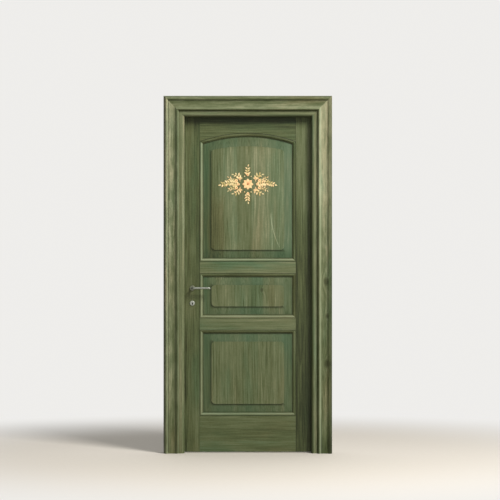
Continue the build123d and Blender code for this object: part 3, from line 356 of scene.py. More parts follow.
# Stain takes unevenly: long streaks, finer lines, clouds, specks and pores. The fades are added, and on
# the mouldings a painted shade darkens the top and right lengths.
def stainAndShadeTone(tree, position, axes, fibres, look):
    tone = 0.5 + look["lift"]
    specks = noise(tree, position, *uptake["speckNoise"])
    for signal, amount in ((fibres["streaks"], look["streaks"]), (fibres["fine"], look["lines"]),
                           (fibres["toneDraw"], look["staveTone"]), (fibres["clouds"], look["clouds"]),
                           (specks, uptake["specks"])):
        tone = vary(tree, tone, signal, amount)
    tone = calc(tree, "MULTIPLY_ADD", fibres["late"], -look["rings"], tone)
    pores = ramp(tree, fibres["pores"], *uptake["pores"])
    tone = calc(tree, "MULTIPLY_ADD", pores, -uptake["poreDark"], tone)
    if look["mottle"]:
        patches = ramp(tree, boardNoise(tree, axes, look, "mottle"), *uptake["patches"])
        tone = vary(tree, tone, patches, look["mottle"])
    tone = addFades(tree, tone, axes, look["fades"])
    if look["figures"]:
        tone = calc(tree, "ADD", tone, lightFigure(tree, axes, look))
    # Painted shade: the mouldings' top and right lengths are darkened
    if look["shade"]:
        paintedShadeSide = calc(tree, "SUBTRACT", axes["leftOrBottom"], 1.0)
        tone = calc(tree, "MULTIPLY_ADD", paintedShadeSide, look["shade"], tone)
    return tone


def stainHue(tree, axes, fibres, look):
    hue = vary(tree, boardNoise(tree, axes, look, "hue"), fibres["hueDraw"], look["staveHue"])
    return addFades(tree, calc(tree, "ADD", hue, look["hue"]), axes, look["hueFades"])


# Patina and painted shade in the recesses, a painted shadow along the raised field's step, painted shade
# in the creases, dark lines in the joints, and pale lines on the worn edges, which are painted highlights too
def addWearAndPaintedLight(tree, base, hue, axes, fibres, look):
    height = calc(tree, "ABSOLUTE", axes["depth"])
    # Stain gathered in the margins' recess, and painted shade, set apart for the left and the right
    if look["recess"]:
        shallow, deep, onLeft, onRight = look["recess"]
        amount = ramp(tree, axes["x"], *wearAndLight["patinaShadeSpan"], onLeft, onRight)
        amount = vary(tree, amount, hue, wearAndLight["patinaUneven"])
        patinaAndShade = calc(tree, "MULTIPLY", ramp(tree, height, shallow, deep), amount)
        base = blendColour(tree, patinaAndShade, base, stain["sunken"])
    # A painted shadow at the foot of the raised field's step, on its left and bottom sides only
    if look["step"]:
        low, foot, high, crest, amount = look["step"]
        fromFoot = ramp(tree, height, low, foot)
        line = calc(tree, "MULTIPLY", fromFoot, ramp(tree, height, high, crest, 1.0, 0.0))
        line = calc(tree, "MULTIPLY", line, calc(tree, "MULTIPLY", axes["leftOrBottom"], amount))
        base = blendColour(tree, line, base, stain["deep"])
    # Crease lines paint shade, with a dark joint line where casing meets frame; rubs are worn edges with a
    # painted highlight
    for lines, shade in (("rubsAndHighlights", "rubbed"), ("shadedCreasesAndJoints", "deep")):
        for place, reach, amount in look[lines]:
            away = calc(tree, "ABSOLUTE", calc(tree, "SUBTRACT", axes["edge"], place))
            line = ramp(tree, away, 0.0, reach, amount, 0.0)
            # Worn edges and a painted highlight: on the mouldings the rubs fall on the left and bottom
            # lengths only
            if lines == "rubsAndHighlights":
                worn = vary(tree, wearAndLight["rub"], fibres["clouds"], wearAndLight["rubUneven"])
                line = calc(tree, "MULTIPLY", line, calc(tree, "MULTIPLY", axes["leftOrBottom"], worn))
            base = blendColour(tree, line, base, stain[shade])
    if look["joint"]:
        fromJoint = calc(tree, "SUBTRACT", calc(tree, "ABSOLUTE", axes["x"]), look["joint"])
        away = calc(tree, "ABSOLUTE", fromJoint)
        seam = ramp(tree, away, wearAndLight["jointLine"], wearAndLight["jointFade"], wearAndLight["jointDark"], 0.0)
        base = blendColour(tree, seam, base, stain["deep"])
    if look["knots"]:
        core = calc(tree, "MULTIPLY", fibres["knotMask"], knot["dark"])
        base = blendColour(tree, core, base, stain["knot"])
        knotLines = calc(tree, "MULTIPLY", fibres["knotRings"], knot["lines"])
        base = blendColour(tree, knotLines, base, stain["deep"])
    return base


def woodMaterial(name, look):
    look = {**woodDefaults, **look}
    material, tree, shader, position = newMaterial(name, stain["middle"])
    axes = fibreAxes(tree, position, look)
    fibres = woodFibres(tree, axes, look)
    tone = stainAndShadeTone(tree, position, axes, fibres, look)
    base = colourRamp(tree, tone, [(place, stain[shade]) for place, shade in stain["tones"]])

    # Bluish green where the stain lies thick, brownish where the wood shows through
    hue = stainHue(tree, axes, fibres, look)
    for side in ("cool", "warm"):
        amount = ramp(tree, hue, *uptake[side], 0.0, look[side])
        base = blendColour(tree, amount, base, stain[side + "Tint"], "MULTIPLY")
    plug(tree, addWearAndPaintedLight(tree, base, hue, axes, fibres, look), shader.inputs["Base Color"])

    rough = vary(tree, surface["rough"], fibres["fine"], surface["roughFine"])
    rough = calc(tree, "MULTIPLY_ADD", fibres["late"], surface["roughLate"], rough)
    plug(tree, rough, shader.inputs["Roughness"])
    shader.inputs["Specular IOR Level"].default_value = surface["specular"]
    shader.inputs["Coat Weight"].default_value = surface["coat"]
    shader.inputs["Coat Roughness"].default_value = surface["coatRough"]
    ridges = calc(tree, "MULTIPLY", calc(tree, "ADD", fibres["late"], fibres["fine"]), surface["fibreRelief"])
    relief = calc(tree, "MULTIPLY_ADD", fibres["pores"], surface["poreRelief"], ridges)
    addBump(tree, shader, relief, surface["bump"], surface["bumpHeight"])
    return material


# Leaf: stiles and rails. Each fade adds to the tone: its axis, where it starts and is full, and how much.
# The fades at the top of the stiles and of the top rail paint the shadow under the head; the hinge stile's
# fade towards the bottom and the lock stile's at its outer edge paint shade.
stileEdge = 0.301  # from the middle to the stiles' inner edges
leafLook = {
    "lock_stile": {"grain": "up", "stave": 0.11, "seed": 1.0, "lift": -0.13, "hue": 0.03,
                   "fades": [("z", 1.98, 2.09, -0.25), ("x", -0.37, -0.405, -0.15)]},
    "hinge_stile": {"grain": "up", "stave": 0.12, "seed": 2.4, "lift": -0.05, "hue": 0.07,
                    "streaks": 0.85, "warm": 0.2,
                    "fades": [("z", 2.0, 2.09, -0.25), ("z", 1.75, 1.1, -0.32), ("x", 0.33, 0.37, 0.07)]},
    "top_rail": {"grain": "across", "stave": 0.2, "seed": 3.1, "lift": -0.19,
                 "fades": [("z", 2.03, 2.08, -0.3)]},
    "upper_middle_rail": {"grain": "across", "stave": 0.12, "seed": 4.7, "hue": 0.1, "cool": 1.0,
                          "warm": 0.3},
    "lower_middle_rail": {"grain": "across", "stave": 0.12, "seed": 5.2, "lift": -0.01},
    "bottom_rail": {"grain": "across", "stave": 0.3, "seed": 6.6, "lift": -0.1,
                    "fades": [("z", 0.12, 0.2, 0.09), ("z", 0.07, 0.0, -0.08)]},
}
for name, look in leafLook.items():
    look["joint"] = stileEdge
    if "rail" in name:
        look.update({"streaks": 0.5, "waver": 0.006, "clouds": 0.2})

# Panels: the margins darken in a recess given by its depths and by the amounts at the left and right:
# stain gathered there, and painted shade set apart for each side. A painted shadow follows the left and
# bottom of the raised field, whose outline is in the mitres. The upper panel's fades paint shade on its
# left and on the margins at its top and bottom, and paint light on its right margin; the other fades only
# darken the panels' sides or make the tone uneven.
fieldStepShadow = (0.0108, 0.0128, 0.0155, 0.0180, 0.62)  # depths of the step's foot and crest, and how dark
fieldEdge = 0.2254
panelLook = {
    "upper_panel": {"stave": 0.085, "seed": 7.2, "warm": 0.8, "streaks": 0.52,
                    "recess": (0.0182, 0.0125, 0.36, 0.42),
                    "fades": [("x", -0.15, -0.225, -0.16), ("x", -0.05, 0.14, 0.08),
                              ("x", 0.14, 0.21, -0.08), ("x", 0.215, 0.235, 0.14),
                              ("z", 1.5, 1.85, 0.06), ("z", 1.28, 1.24, -0.15), ("z", 1.88, 1.96, -0.14)],
                    "hueFades": [("x", 0.08, 0.16, 0.09)],
                    "figures": [(0.143, 1.512, 0.057, 0.232, 0.005, 0.28)],
                    "mitres": (1.267, 1.913, fieldEdge), "archRadius": 0.8812, "archCrest": 1.913},
    "middle_panel": {"stave": 0.07, "seed": 8.9, "lift": -0.02, "recess": (0.0182, 0.0125, 0.35, 0.35),
                     "fades": [("x", -0.22, -0.24, -0.08), ("x", 0.22, 0.24, -0.06)],
                     "knots": [(0.088, 1.016, 0.010)], "mitres": (0.910, 1.056, fieldEdge)},
    "bottom_panel": {"stave": 0.09, "seed": 9.3, "lift": -0.05, "recess": (0.0182, 0.0125, 0.55, 0.4),
                     "fades": [("x", -0.22, -0.24, -0.12), ("x", 0.22, 0.24, -0.06)],
                     "mitres": (0.305, 0.705, fieldEdge)},
}
for look in panelLook.values():
    look.update({"grain": "up", "step": fieldStepShadow})

# Frame and casings. Creases and rubs are lines by distance out from the opening: place, reach and amount.
# The crease lines paint shade in the quirks, on the noses, along the outer edges and at the stops' inner
# edges, with a dark joint line where casing meets frame; the rubs are worn crests with a painted highlight.
frameLook = {
    "strike_stop": {"grain": "up", "seed": 11.5, "lift": 0.22, "fades": [("z", 1.75, 1.05, -0.2)]},
    "hinge_stop": {"grain": "up", "seed": 12.5, "lift": 0.24, "fades": [("z", 1.8, 1.0, -0.26)],
                   "shadedCreasesAndJoints": [(0.0, 0.020, 0.85)]},
    "head_stop": {"grain": "across", "seed": 13.5, "shadedCreasesAndJoints": [(0.0, 0.024, 0.75)]},
    "strike_jamb": {"grain": "up", "seed": 11.0, "lift": 0.04},
    "hinge_jamb": {"grain": "up", "seed": 12.0, "lift": 0.1},
    "head_jamb": {"grain": "across", "seed": 13.0, "lift": 0.08},
    "front_casing_strike": {
        "grain": "up", "seed": 14.0, "lift": 0.16, "cool": 0.35, "warm": 0.8,
        "fades": [("z", 1.45, 1.85, 0.1), ("z", 1.5, 1.1, -0.04), ("edge", 0.095, 0.07, -0.1)],
        "shadedCreasesAndJoints": [(0.034, 0.004, 0.35), (0.051, 0.016, 0.6), (0.099, 0.0035, 0.4), (0.130, 0.021, 0.9)],
        "rubsAndHighlights": [(0.037, 0.005, 0.35), (0.104, 0.006, 0.4)]},
    "front_casing_hinge": {
        "grain": "up", "seed": 15.0, "lift": 0.24,
        "fades": [("edge", 0.103, 0.109, -0.22), ("z", 0.2, 0.0, -0.25), ("z", 1.3, 1.75, 0.12),
                  ("z", 1.4, 1.1, -0.18), ("edge", 0.095, 0.07, -0.12), ("z", 0.75, 0.5, -0.06)],
        "knots": [(0.487, 1.07, 0.019), (0.494, 0.855, 0.012), (0.492, 0.56, 0.020)],
        "shadedCreasesAndJoints": [(0.042, 0.009, 0.75), (0.109, 0.006, 0.6), (0.122, 0.012, 0.48)],
        "rubsAndHighlights": [(0.056, 0.009, 0.46)]},
    "front_casing_head": {
        "grain": "across", "seed": 16.0, "lift": 0.07, "cool": 0.15, "warm": 0.9,
        "shadedCreasesAndJoints": [(0.037, 0.007, 0.9), (0.1035, 0.005, 0.7), (0.126, 0.008, 0.5)],
        "rubsAndHighlights": [(0.052, 0.006, 0.2), (0.127, 0.003, 0.4)]},
    "back_casing_strike": {"grain": "up", "seed": 17.0, "lift": 0.1},
    "back_casing_hinge": {"grain": "up", "seed": 18.0, "lift": 0.1},
    "back_casing_head": {"grain": "across", "seed": 19.0, "lift": 0.1},
}
for name, look in frameLook.items():
    look["stave"] = 0.3
    if "front_casing" in name:
        look["mottle"] = 0.22

# Panel mouldings: one material for the four mitred lengths round each panel, in front and behind. The top
# and right lengths are painted in shade, the rubs paint highlights on the left and bottom lengths, and the
# crease lines paint shade in the quirk and at the foot.
mouldingLook = {
    "upper": {"seed": 21.0, "rubsAndHighlights": [(0.0125, 0.009, 0.38)], "mitres": (1.1935, 1.945, stileEdge),
              "archRadius": 0.8812, "archCrest": 1.998},
    "middle": {"seed": 22.0, "rubsAndHighlights": [(0.0125, 0.009, 0.28)], "mitres": (0.8395, 1.121, stileEdge)},
    "bottom": {"seed": 23.0, "rubsAndHighlights": [(0.0125, 0.009, 0.24)], "mitres": (0.230, 0.767, stileEdge)},
}
for look in mouldingLook.values():
    look.update({"grain": "mitred", "stave": 0.3, "lift": 0.01, "shade": 0.15,
                 "shadedCreasesAndJoints": [(0.0, 0.004, 0.85), (0.0235, 0.006, 0.8)]})


def dress(name, material):
    for slot in nodes[name].material_slots:
        slot.material = material


for group in (leafLook, panelLook, frameLook):
    for name, look in group.items():
        dress(name, woodMaterial("stained_" + name, look))
for name, look in mouldingLook.items():
    moulding = woodMaterial("stained_" + name + "_moulding", look)
    dress("front_" + name + "_moulding", moulding)
    dress("back_" + name + "_moulding", moulding)
print("wood dressed")


# Ornament: a generic onlay of leaf sprigs round a rosette, grown along guide curves by geometry nodes
sprigGuides = [  # turn in degrees, where it starts and ends, how far it bows, longest leaf
    (0, 0.061, 0.166, 0.008, 0.029), (180, 0.061, 0.166, -0.008, 0.029),
    (90, 0.061, 0.108, 0.003, 0.026), (270, 0.061, 0.108, -0.003, 0.026),
    (36, 0.061, 0.104, 0.006, 0.025), (144, 0.061, 0.104, -0.006, 0.025),
    (216, 0.061, 0.104, 0.006, 0.025), (324, 0.061, 0.104, -0.006, 0.025),
    (17, 0.075, 0.124, -0.006, 0.021), (163, 0.075, 0.124, 0.006, 0.021),
    (197, 0.075, 0.124, -0.006, 0.021), (343, 0.075, 0.124, 0.006, 0.021),
]
guideShape = {"steps": 12, "bowTurns": 1.15}
sprigSizes = {
    "Leaf spacing": 0.0125, "Leaf slimness": 0.44, "Lean": math.radians(50), "Tip scale": 0.72,
    "Relief": 0.0042, "Stem": 0.0013, "Berry": 0.0024, "Berry offset": 0.0142, "Blossom petals": 6,
    "Blossom": 0.0098, "Seed": 4,
}
rosetteSizes = {
    "Petals": 8, "Petal length": 0.031, "Petal width": 0.021, "Petal relief": 0.0046, "Inner scale": 0.62,
    "Eye": 0.0085, "Beads": 16, "Bead ring": 0.053, "Bead": 0.0038, "Seed": 4,
}
leafShape = {
    "grid": (16, 10), "scallops": 22.0, "scallopDepth": 0.07, "taper": -0.45, "fullness": 1.22,
    "ribSharpness": -14.0, "veins": 34.0, "veinSlant": -7.0, "veinDepth": 0.10,
}
sprigShape = {  # spreads as the lowest and highest share of the size that is given
    "usualLeaf": 0.026, "groove": 0.55, "leanSpread": (0.82, 1.15), "leafSpread": (0.85, 1.12),
    "berrySpread": (0.7, 1.1), "berryAhead": 0.75, "berryGrid": (12, 8), "stemSides": 8,
}
blossomShape = {
    "petalWidth": 0.9, "groove": 0.3, "foot": 0.0016, "petalsForward": -0.0022, "eye": 0.42,
    "eyeGrid": (12, 8),
}
rosetteShape = {
    "groove": 0.35, "foot": 0.6, "innerForward": -0.0012, "eye": 0.66, "eyeGrid": (20, 12),
    "beadGrid": (14, 9),
}
giltTones = {  # where each kind lies between the gilding's greenish and russet ends
    "leaf": (0.12, 0.6), "tipLeaf": (0.3, 0.6), "berry": (0.85, 1.0), "blossom": (0.45, 0.72),
    "blossomEye": (0.9, 1.0), "outerPetal": (0.5, 0.66), "innerPetal": (0.62, 0.8), "bead": (0.4, 0.7),
    "eye": (0.9, 0.95),
}


def newGeometryTree(name, sizes):
    tree = bpy.data.node_groups.new(name, "GeometryNodeTree")
    tree.interface.new_socket("Geometry", in_out="INPUT", socket_type="NodeSocketGeometry")
    for label, value in sizes.items():
        kind = "NodeSocketInt" if isinstance(value, int) else "NodeSocketFloat"
        tree.interface.new_socket(label, in_out="INPUT", socket_type=kind).default_value = value
    tree.interface.new_socket("Geometry", in_out="OUTPUT", socket_type="NodeSocketGeometry")
    return tree, addNode(tree, "NodeGroupInput").outputs


def finishTree(tree, geometry, material):
    whole = addNode(tree, "GeometryNodeRealizeInstances", {"Geometry": geometry}).outputs[0]
    shaded = addNode(tree, "GeometryNodeSetMaterial", {"Geometry": whole, "Material": material}).outputs[0]
    smooth = addNode(tree, "GeometryNodeSetShadeSmooth", {"Geometry": shaded}).outputs[0]
    addNode(tree, "NodeGroupOutput", {0: smooth})


def applyTree(source, tree, sizes, name):  # the modifier's result as a plain mesh object
    modifier = source.modifiers.new(name, "NODES")
    modifier.node_group = tree
    for item in tree.interface.items_tree:
        if item.in_out == "INPUT" and item.name in sizes:
            modifier[item.identifier] = sizes[item.name]
    bpy.context.view_layer.update()
    evaluated = source.evaluated_get(bpy.context.evaluated_depsgraph_get())
    mesh = bpy.data.meshes.new_from_object(evaluated)
    mesh.name = name
    result = bpy.data.objects.new(name, mesh)
    scene.collection.objects.link(result)
    bpy.data.objects.remove(source)
    return result


def instance(tree, points, form, **inputs):
    given = {"Points": points, "Instance": form, **inputs}
    return addNode(tree, "GeometryNodeInstanceOnPoints", given).outputs[0]


def ball(tree, radius, grid):
    segments, rings = grid
    inputs = {"Segments": segments, "Rings": rings, "Radius": radius}
    return addNode(tree, "GeometryNodeMeshUVSphere", inputs).outputs[0]


def leafForm(tree, reach, width, relief, groove):  # a ball drawn out to two points, with a grooved front
    x, y, z = separate(tree, addNode(tree, "GeometryNodeInputPosition").outputs[0])
    girthSquared = calc(tree, "SUBTRACT", 1.0, calc(tree, "MULTIPLY", z, z))
    girth = calc(tree, "SQRT", calc(tree, "MAXIMUM", girthSquared, 0.0001))
    u = calc(tree, "DIVIDE", x, girth)
    v = calc(tree, "DIVIDE", y, girth)
    t = calc(tree, "MULTIPLY_ADD", z, 0.5, 0.5)
    swell = calc(tree, "SINE", calc(tree, "MULTIPLY", t, math.pi))
    wave = calc(tree, "SINE", calc(tree, "MULTIPLY", t, leafShape["scallops"]))
    scallop = calc(tree, "MULTIPLY_ADD", wave, leafShape["scallopDepth"], 1.0)
    taper = calc(tree, "MULTIPLY_ADD", t, leafShape["taper"], leafShape["fullness"])
    breadth = calc(tree, "MULTIPLY", calc(tree, "MULTIPLY", swell, scallop), taper)
    sideways = calc(tree, "MULTIPLY", calc(tree, "MULTIPLY", u, breadth), calc(tree, "MULTIPLY", width, 0.5))
    uSquared = calc(tree, "MULTIPLY", u, u)
    rib = calc(tree, "EXPONENT", calc(tree, "MULTIPLY", uSquared, leafShape["ribSharpness"]))
    slant = calc(tree, "MULTIPLY", calc(tree, "ABSOLUTE", u), leafShape["veinSlant"])
    vein = calc(tree, "SINE", calc(tree, "ADD", calc(tree, "MULTIPLY", t, leafShape["veins"]), slant))
    cut = calc(tree, "MULTIPLY_ADD", vein, leafShape["veinDepth"], calc(tree, "MULTIPLY", rib, groove))
    dip = calc(tree, "MULTIPLY", cut, calc(tree, "LESS_THAN", v, 0.0))  # only on the front
    thickness = calc(tree, "MULTIPLY", calc(tree, "SQRT", calc(tree, "MAXIMUM", swell, 0.0)), relief)
    forward = calc(tree, "MULTIPLY", calc(tree, "ADD", v, calc(tree, "MULTIPLY", dip, girth)), thickness)
    place = combine(tree, sideways, forward, calc(tree, "MULTIPLY", t, reach))
    inputs = {"Geometry": ball(tree, 1.0, leafShape["grid"]), "Position": place}
    return addNode(tree, "GeometryNodeSetPosition", inputs).outputs[0]


def randomValue(tree, spread, seed, channel):  # each channel is a draw of its own from the one seed
    low, high = spread
    inputs = {2: low, 3: high, "Seed": calc(tree, "ADD", seed, float(channel))}
    return addNode(tree, "FunctionNodeRandomValue", inputs, data_type="FLOAT").outputs[1]


def toned(tree, instances, kind, seed, channel):  # a tone for each instance, read by the material
    tone = randomValue(tree, giltTones[kind], seed, channel)
    inputs = {"Geometry": instances, "Name": "tone", "Value": tone}
    settings = {"data_type": "FLOAT", "domain": "INSTANCE"}
    return addNode(tree, "GeometryNodeStoreNamedAttribute", inputs, **settings).outputs[0]


def ring(tree, count, radius, forward=0.0, twist=0.0):  # points in a circle that faces the front
    circle = addNode(tree, "GeometryNodeMeshCircle", {"Vertices": count, "Radius": radius}).outputs[0]
    upright = addNode(tree, "GeometryNodeTransform", {
        "Geometry": circle, "Rotation": (math.radians(90), 0, 0), "Translation": (0, forward, 0)}).outputs[0]
    turn = calc(tree, "DIVIDE", 2 * math.pi * twist, count)
    inputs = {"Geometry": upright, "Rotation": combine(tree, 0.0, turn, 0.0)}
    return addNode(tree, "GeometryNodeTransform", inputs).outputs[0]


def petalRing(tree, points, petal, scale, kind, seed, channel):
    x, y, z = separate(tree, addNode(tree, "GeometryNodeInputPosition").outputs[0])
    outward = combine(tree, 0.0, calc(tree, "ARCTAN2", x, z), 0.0)
    petals = instance(tree, points, petal, Rotation=outward, Scale=scale)
    return toned(tree, petals, kind, seed, channel)


def lone(tree, form, kind, seed, channel):  # one instance at the middle
    point = addNode(tree, "GeometryNodePoints", {"Count": 1, "Position": (0, 0, 0)}).outputs[0]
    return toned(tree, instance(tree, point, form), kind, seed, channel)


def join(tree, parts):
    joined = addNode(tree, "GeometryNodeJoinGeometry")
    for part in parts:
        tree.links.new(part, joined.inputs[0])
    return joined.outputs[0]


def curveEnd(tree, first, last):
    inputs = {"Start Size": first, "End Size": last}
    return addNode(tree, "GeometryNodeCurveEndpointSelection", inputs).outputs[0]


def buildBlossom(tree, given):
    size, seed = given["Blossom"], given["Seed"]
    width = calc(tree, "MULTIPLY", size, blossomShape["petalWidth"])
    petal = leafForm(tree, size, width, given["Relief"], blossomShape["groove"])
    foot = ring(tree, given["Blossom petals"], blossomShape["foot"], forward=blossomShape["petalsForward"])
    petals = petalRing(tree, foot, petal, (1, 1, 1), "blossom", seed, 14)
    eyeForm = ball(tree, calc(tree, "MULTIPLY", size, blossomShape["eye"]), blossomShape["eyeGrid"])
    whole = join(tree, (petals, lone(tree, eyeForm, "blossomEye", seed, 15)))
    return addNode(tree, "GeometryNodeRealizeInstances", {"Geometry": whole}).outputs[0]


# Points beside the stem, a little ahead of each leaf
def berryPlaces(tree, given, line, notTip, tangent, heading, side):
    aside = calc(tree, "MULTIPLY", given["Berry offset"], side)
    offsetX = calc(tree, "MULTIPLY", calc(tree, "COSINE", heading), aside)
    offsetZ = calc(tree, "MULTIPLY", calc(tree, "SINE", heading), calc(tree, "MULTIPLY", aside, -1.0))
    stride = calc(tree, "MULTIPLY", given["Leaf spacing"], sprigShape["berryAhead"])
    ahead = addNode(tree, "ShaderNodeVectorMath", {0: tangent, "Scale": stride}, operation="SCALE").outputs[0]
    sideways = combine(tree, offsetX, 0.0, offsetZ)
    offset = addNode(tree, "ShaderNodeVectorMath", {0: sideways, 1: ahead}, operation="ADD").outputs[0]
    inputs = {"Geometry": line, "Selection": notTip, "Offset": offset}
    return addNode(tree, "GeometryNodeSetPosition", inputs).outputs[0]


def buildSprigTree(material):
    tree, given = newGeometryTree("sprig", sprigSizes)
    guides, seed = given["Geometry"], given["Seed"]
    line = addNode(tree, "GeometryNodeResampleCurve", {"Curve": guides, "Length": given["Leaf spacing"]},
                   mode="LENGTH").outputs[0]
    tangent = addNode(tree, "GeometryNodeInputTangent").outputs[0]
    tangentParts = separate(tree, tangent)
    heading = calc(tree, "ARCTAN2", tangentParts[0], tangentParts[2])
    straight = combine(tree, 0.0, heading, 0.0)
    start, tip = curveEnd(tree, 1, 0), curveEnd(tree, 0, 1)
    notTip = addNode(tree, "FunctionNodeBooleanMath", {0: tip}, operation="NOT").outputs[0]

    # Leaves shrink towards the tip; each guide's radius is its longest leaf
    factor = addNode(tree, "GeometryNodeSplineParameter").outputs["Factor"]
    longestLeaf = addNode(tree, "GeometryNodeInputRadius").outputs[0]
    shrink = calc(tree, "MULTIPLY_ADD", factor, calc(tree, "SUBTRACT", given["Tip scale"], 1.0), 1.0)
    size = calc(tree, "MULTIPLY", longestLeaf, shrink)
    unitRelief = calc(tree, "DIVIDE", given["Relief"], sprigShape["usualLeaf"])
    leaf = leafForm(tree, 1.0, given["Leaf slimness"], unitRelief, sprigShape["groove"])

    grown = []
    for side, channel in ((-1.0, 1), (1.0, 2)):
        lean = calc(tree, "MULTIPLY", calc(tree, "MULTIPLY", given["Lean"], side),
                    randomValue(tree, sprigShape["leanSpread"], seed, channel))
        turn = combine(tree, 0.0, calc(tree, "ADD", heading, lean), 0.0)
        scale = calc(tree, "MULTIPLY", size, randomValue(tree, sprigShape["leafSpread"], seed, channel + 2))
        leaves = instance(tree, line, leaf, Selection=notTip, Rotation=turn, Scale=scale)
        grown.append(toned(tree, leaves, "leaf", seed, channel + 4))
        places = berryPlaces(tree, given, line, notTip, tangent, heading, side)
        berry = ball(tree, given["Berry"], sprigShape["berryGrid"])
        scale = randomValue(tree, sprigShape["berrySpread"], seed, channel + 8)
        berries = instance(tree, places, berry, Selection=notTip, Scale=scale)
        grown.append(toned(tree, berries, "berry", seed, channel + 10))
    end = instance(tree, line, leaf, Selection=tip, Rotation=straight, Scale=size)
    grown.append(toned(tree, end, "tipLeaf", seed, 13))
    grown.append(instance(tree, line, buildBlossom(tree, given), Selection=start, Rotation=straight))

    section = {"Resolution": sprigShape["stemSides"], "Radius": given["Stem"]}
    profile = addNode(tree, "GeometryNodeCurvePrimitiveCircle", section).outputs[0]
    even = addNode(tree, "GeometryNodeSetCurveRadius", {"Curve": guides, "Radius": 1.0}).outputs[0]
    inputs = {"Curve": even, "Profile Curve": profile, "Fill Caps": True}
    grown.append(addNode(tree, "GeometryNodeCurveToMesh", inputs).outputs[0])
    finishTree(tree, join(tree, grown), material)
    return tree


def buildRosetteTree(material):
    tree, given = newGeometryTree("rosette", rosetteSizes)
    seed, petals = given["Seed"], given["Petals"]
    petal = leafForm(tree, given["Petal length"], given["Petal width"], given["Petal relief"],
                     rosetteShape["groove"])
    foot = calc(tree, "MULTIPLY", given["Eye"], rosetteShape["foot"])
    outer = petalRing(tree, ring(tree, petals, foot), petal, (1, 1, 1), "outerPetal", seed, 1)
    between = ring(tree, petals, foot, forward=rosetteShape["innerForward"], twist=0.5)
    inner = petalRing(tree, between, petal, given["Inner scale"], "innerPetal", seed, 2)
    beadPlaces = ring(tree, given["Beads"], given["Bead ring"])
    bead = ball(tree, given["Bead"], rosetteShape["beadGrid"])
    beads = toned(tree, instance(tree, beadPlaces, bead), "bead", seed, 3)
    eyeForm = ball(tree, calc(tree, "MULTIPLY", given["Eye"], rosetteShape["eye"]), rosetteShape["eyeGrid"])
    eye = lone(tree, eyeForm, "eye", seed, 4)
    finishTree(tree, join(tree, (outer, inner, beads, eye)), material)
    return tree


gilt = {
    "view": colour(230, 190, 136), "low": colour(96, 88, 48), "rubbed": colour(150, 128, 78),
    "tones": [(0.15, colour(184, 166, 104)), (0.4, colour(236, 216, 164)), (0.65, colour(236, 192, 138)),
              (0.82, colour(222, 156, 104)), (1.0, colour(132, 78, 46))],
    "wornNoise": (160.0, 4.0), "wornTone": 0.35, "rough": 0.34, "wornRough": 0.25,
    "footHeights": (0.0003, 0.0022), "footDark": 0.75, "rubNoise": 420.0, "rubValues": (0.56, 0.7),
    "rubAmount": 0.45, "bump": 0.25, "bumpHeight": 0.0005,
}


def gildedMaterial(panelFace):
    material, tree, shader, position = newMaterial("gilded_onlay", gilt["view"])
    tone = addNode(tree, "ShaderNodeAttribute", attribute_name="tone").outputs["Fac"]
    worn = noise(tree, position, *gilt["wornNoise"])
    base = colourRamp(tree, vary(tree, tone, worn, gilt["wornTone"]), gilt["tones"])
    standsOut = calc(tree, "SUBTRACT", panelFace, separate(tree, position)[1])
    # Glaze and painted shade: the onlay is darker low down, where it meets the panel
    foot = ramp(tree, standsOut, *gilt["footHeights"], 1.0, 0.0)  # dark where it meets the panel
    base = blendColour(tree, calc(tree, "MULTIPLY", foot, gilt["footDark"]), base, gilt["low"])
    rub = noise(tree, position, gilt["rubNoise"])
    rub = ramp(tree, rub, *gilt["rubValues"], 0.0, gilt["rubAmount"])
    plug(tree, blendColour(tree, rub, base, gilt["rubbed"]), shader.inputs["Base Color"])
    rough = calc(tree, "MULTIPLY_ADD", worn, gilt["wornRough"], gilt["rough"])
    plug(tree, rough, shader.inputs["Roughness"])
    addBump(tree, shader, worn, gilt["bump"], gilt["bumpHeight"])
    return material


def drawGuides():
    guide = bpy.data.curves.new("sprigGuides", "CURVE")
    guide.dimensions = "3D"
    steps = guideShape["steps"]
    for turn, start, end, bow, longestLeaf in sprigGuides:
        spline = guide.splines.new("POLY")
        spline.points.add(steps)
        cosine, sine = math.cos(math.radians(turn)), math.sin(math.radians(turn))
        for index, point in enumerate(spline.points):
            share = index / steps
            along = start + (end - start) * share
            aside = bow * math.sin(math.pi * share * guideShape["bowTurns"])
            point.co = (along * cosine - aside * sine, 0, along * sine + aside * cosine, 1)
            point.radius = longestLeaf
    guides = bpy.data.objects.new("sprigGuides", guide)
    scene.collection.objects.link(guides)
    return guides


def buildOnlay():
    low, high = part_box("panel_ornament")
    panelFace = high.y
    material = gildedMaterial(panelFace)
    sprigs = applyTree(drawGuides(), buildSprigTree(material), sprigSizes, "onlaySprigs")
    start = bpy.data.objects.new("rosetteSeed", bpy.data.meshes.new("rosetteSeed"))
    scene.collection.objects.link(start)
    rosette = applyTree(start, buildRosetteTree(material), rosetteSizes, "onlayRosette")
    for piece in (sprigs, rosette):
        for vertex in piece.data.vertices:
            vertex.co += Vector((0, panelFace, (low.z + high.z) / 2))
        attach(piece, "leaf")
        print(piece.name, len(piece.data.vertices), "vertices")
    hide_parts("panel_ornament")


buildOnlay()
print("ornament made")


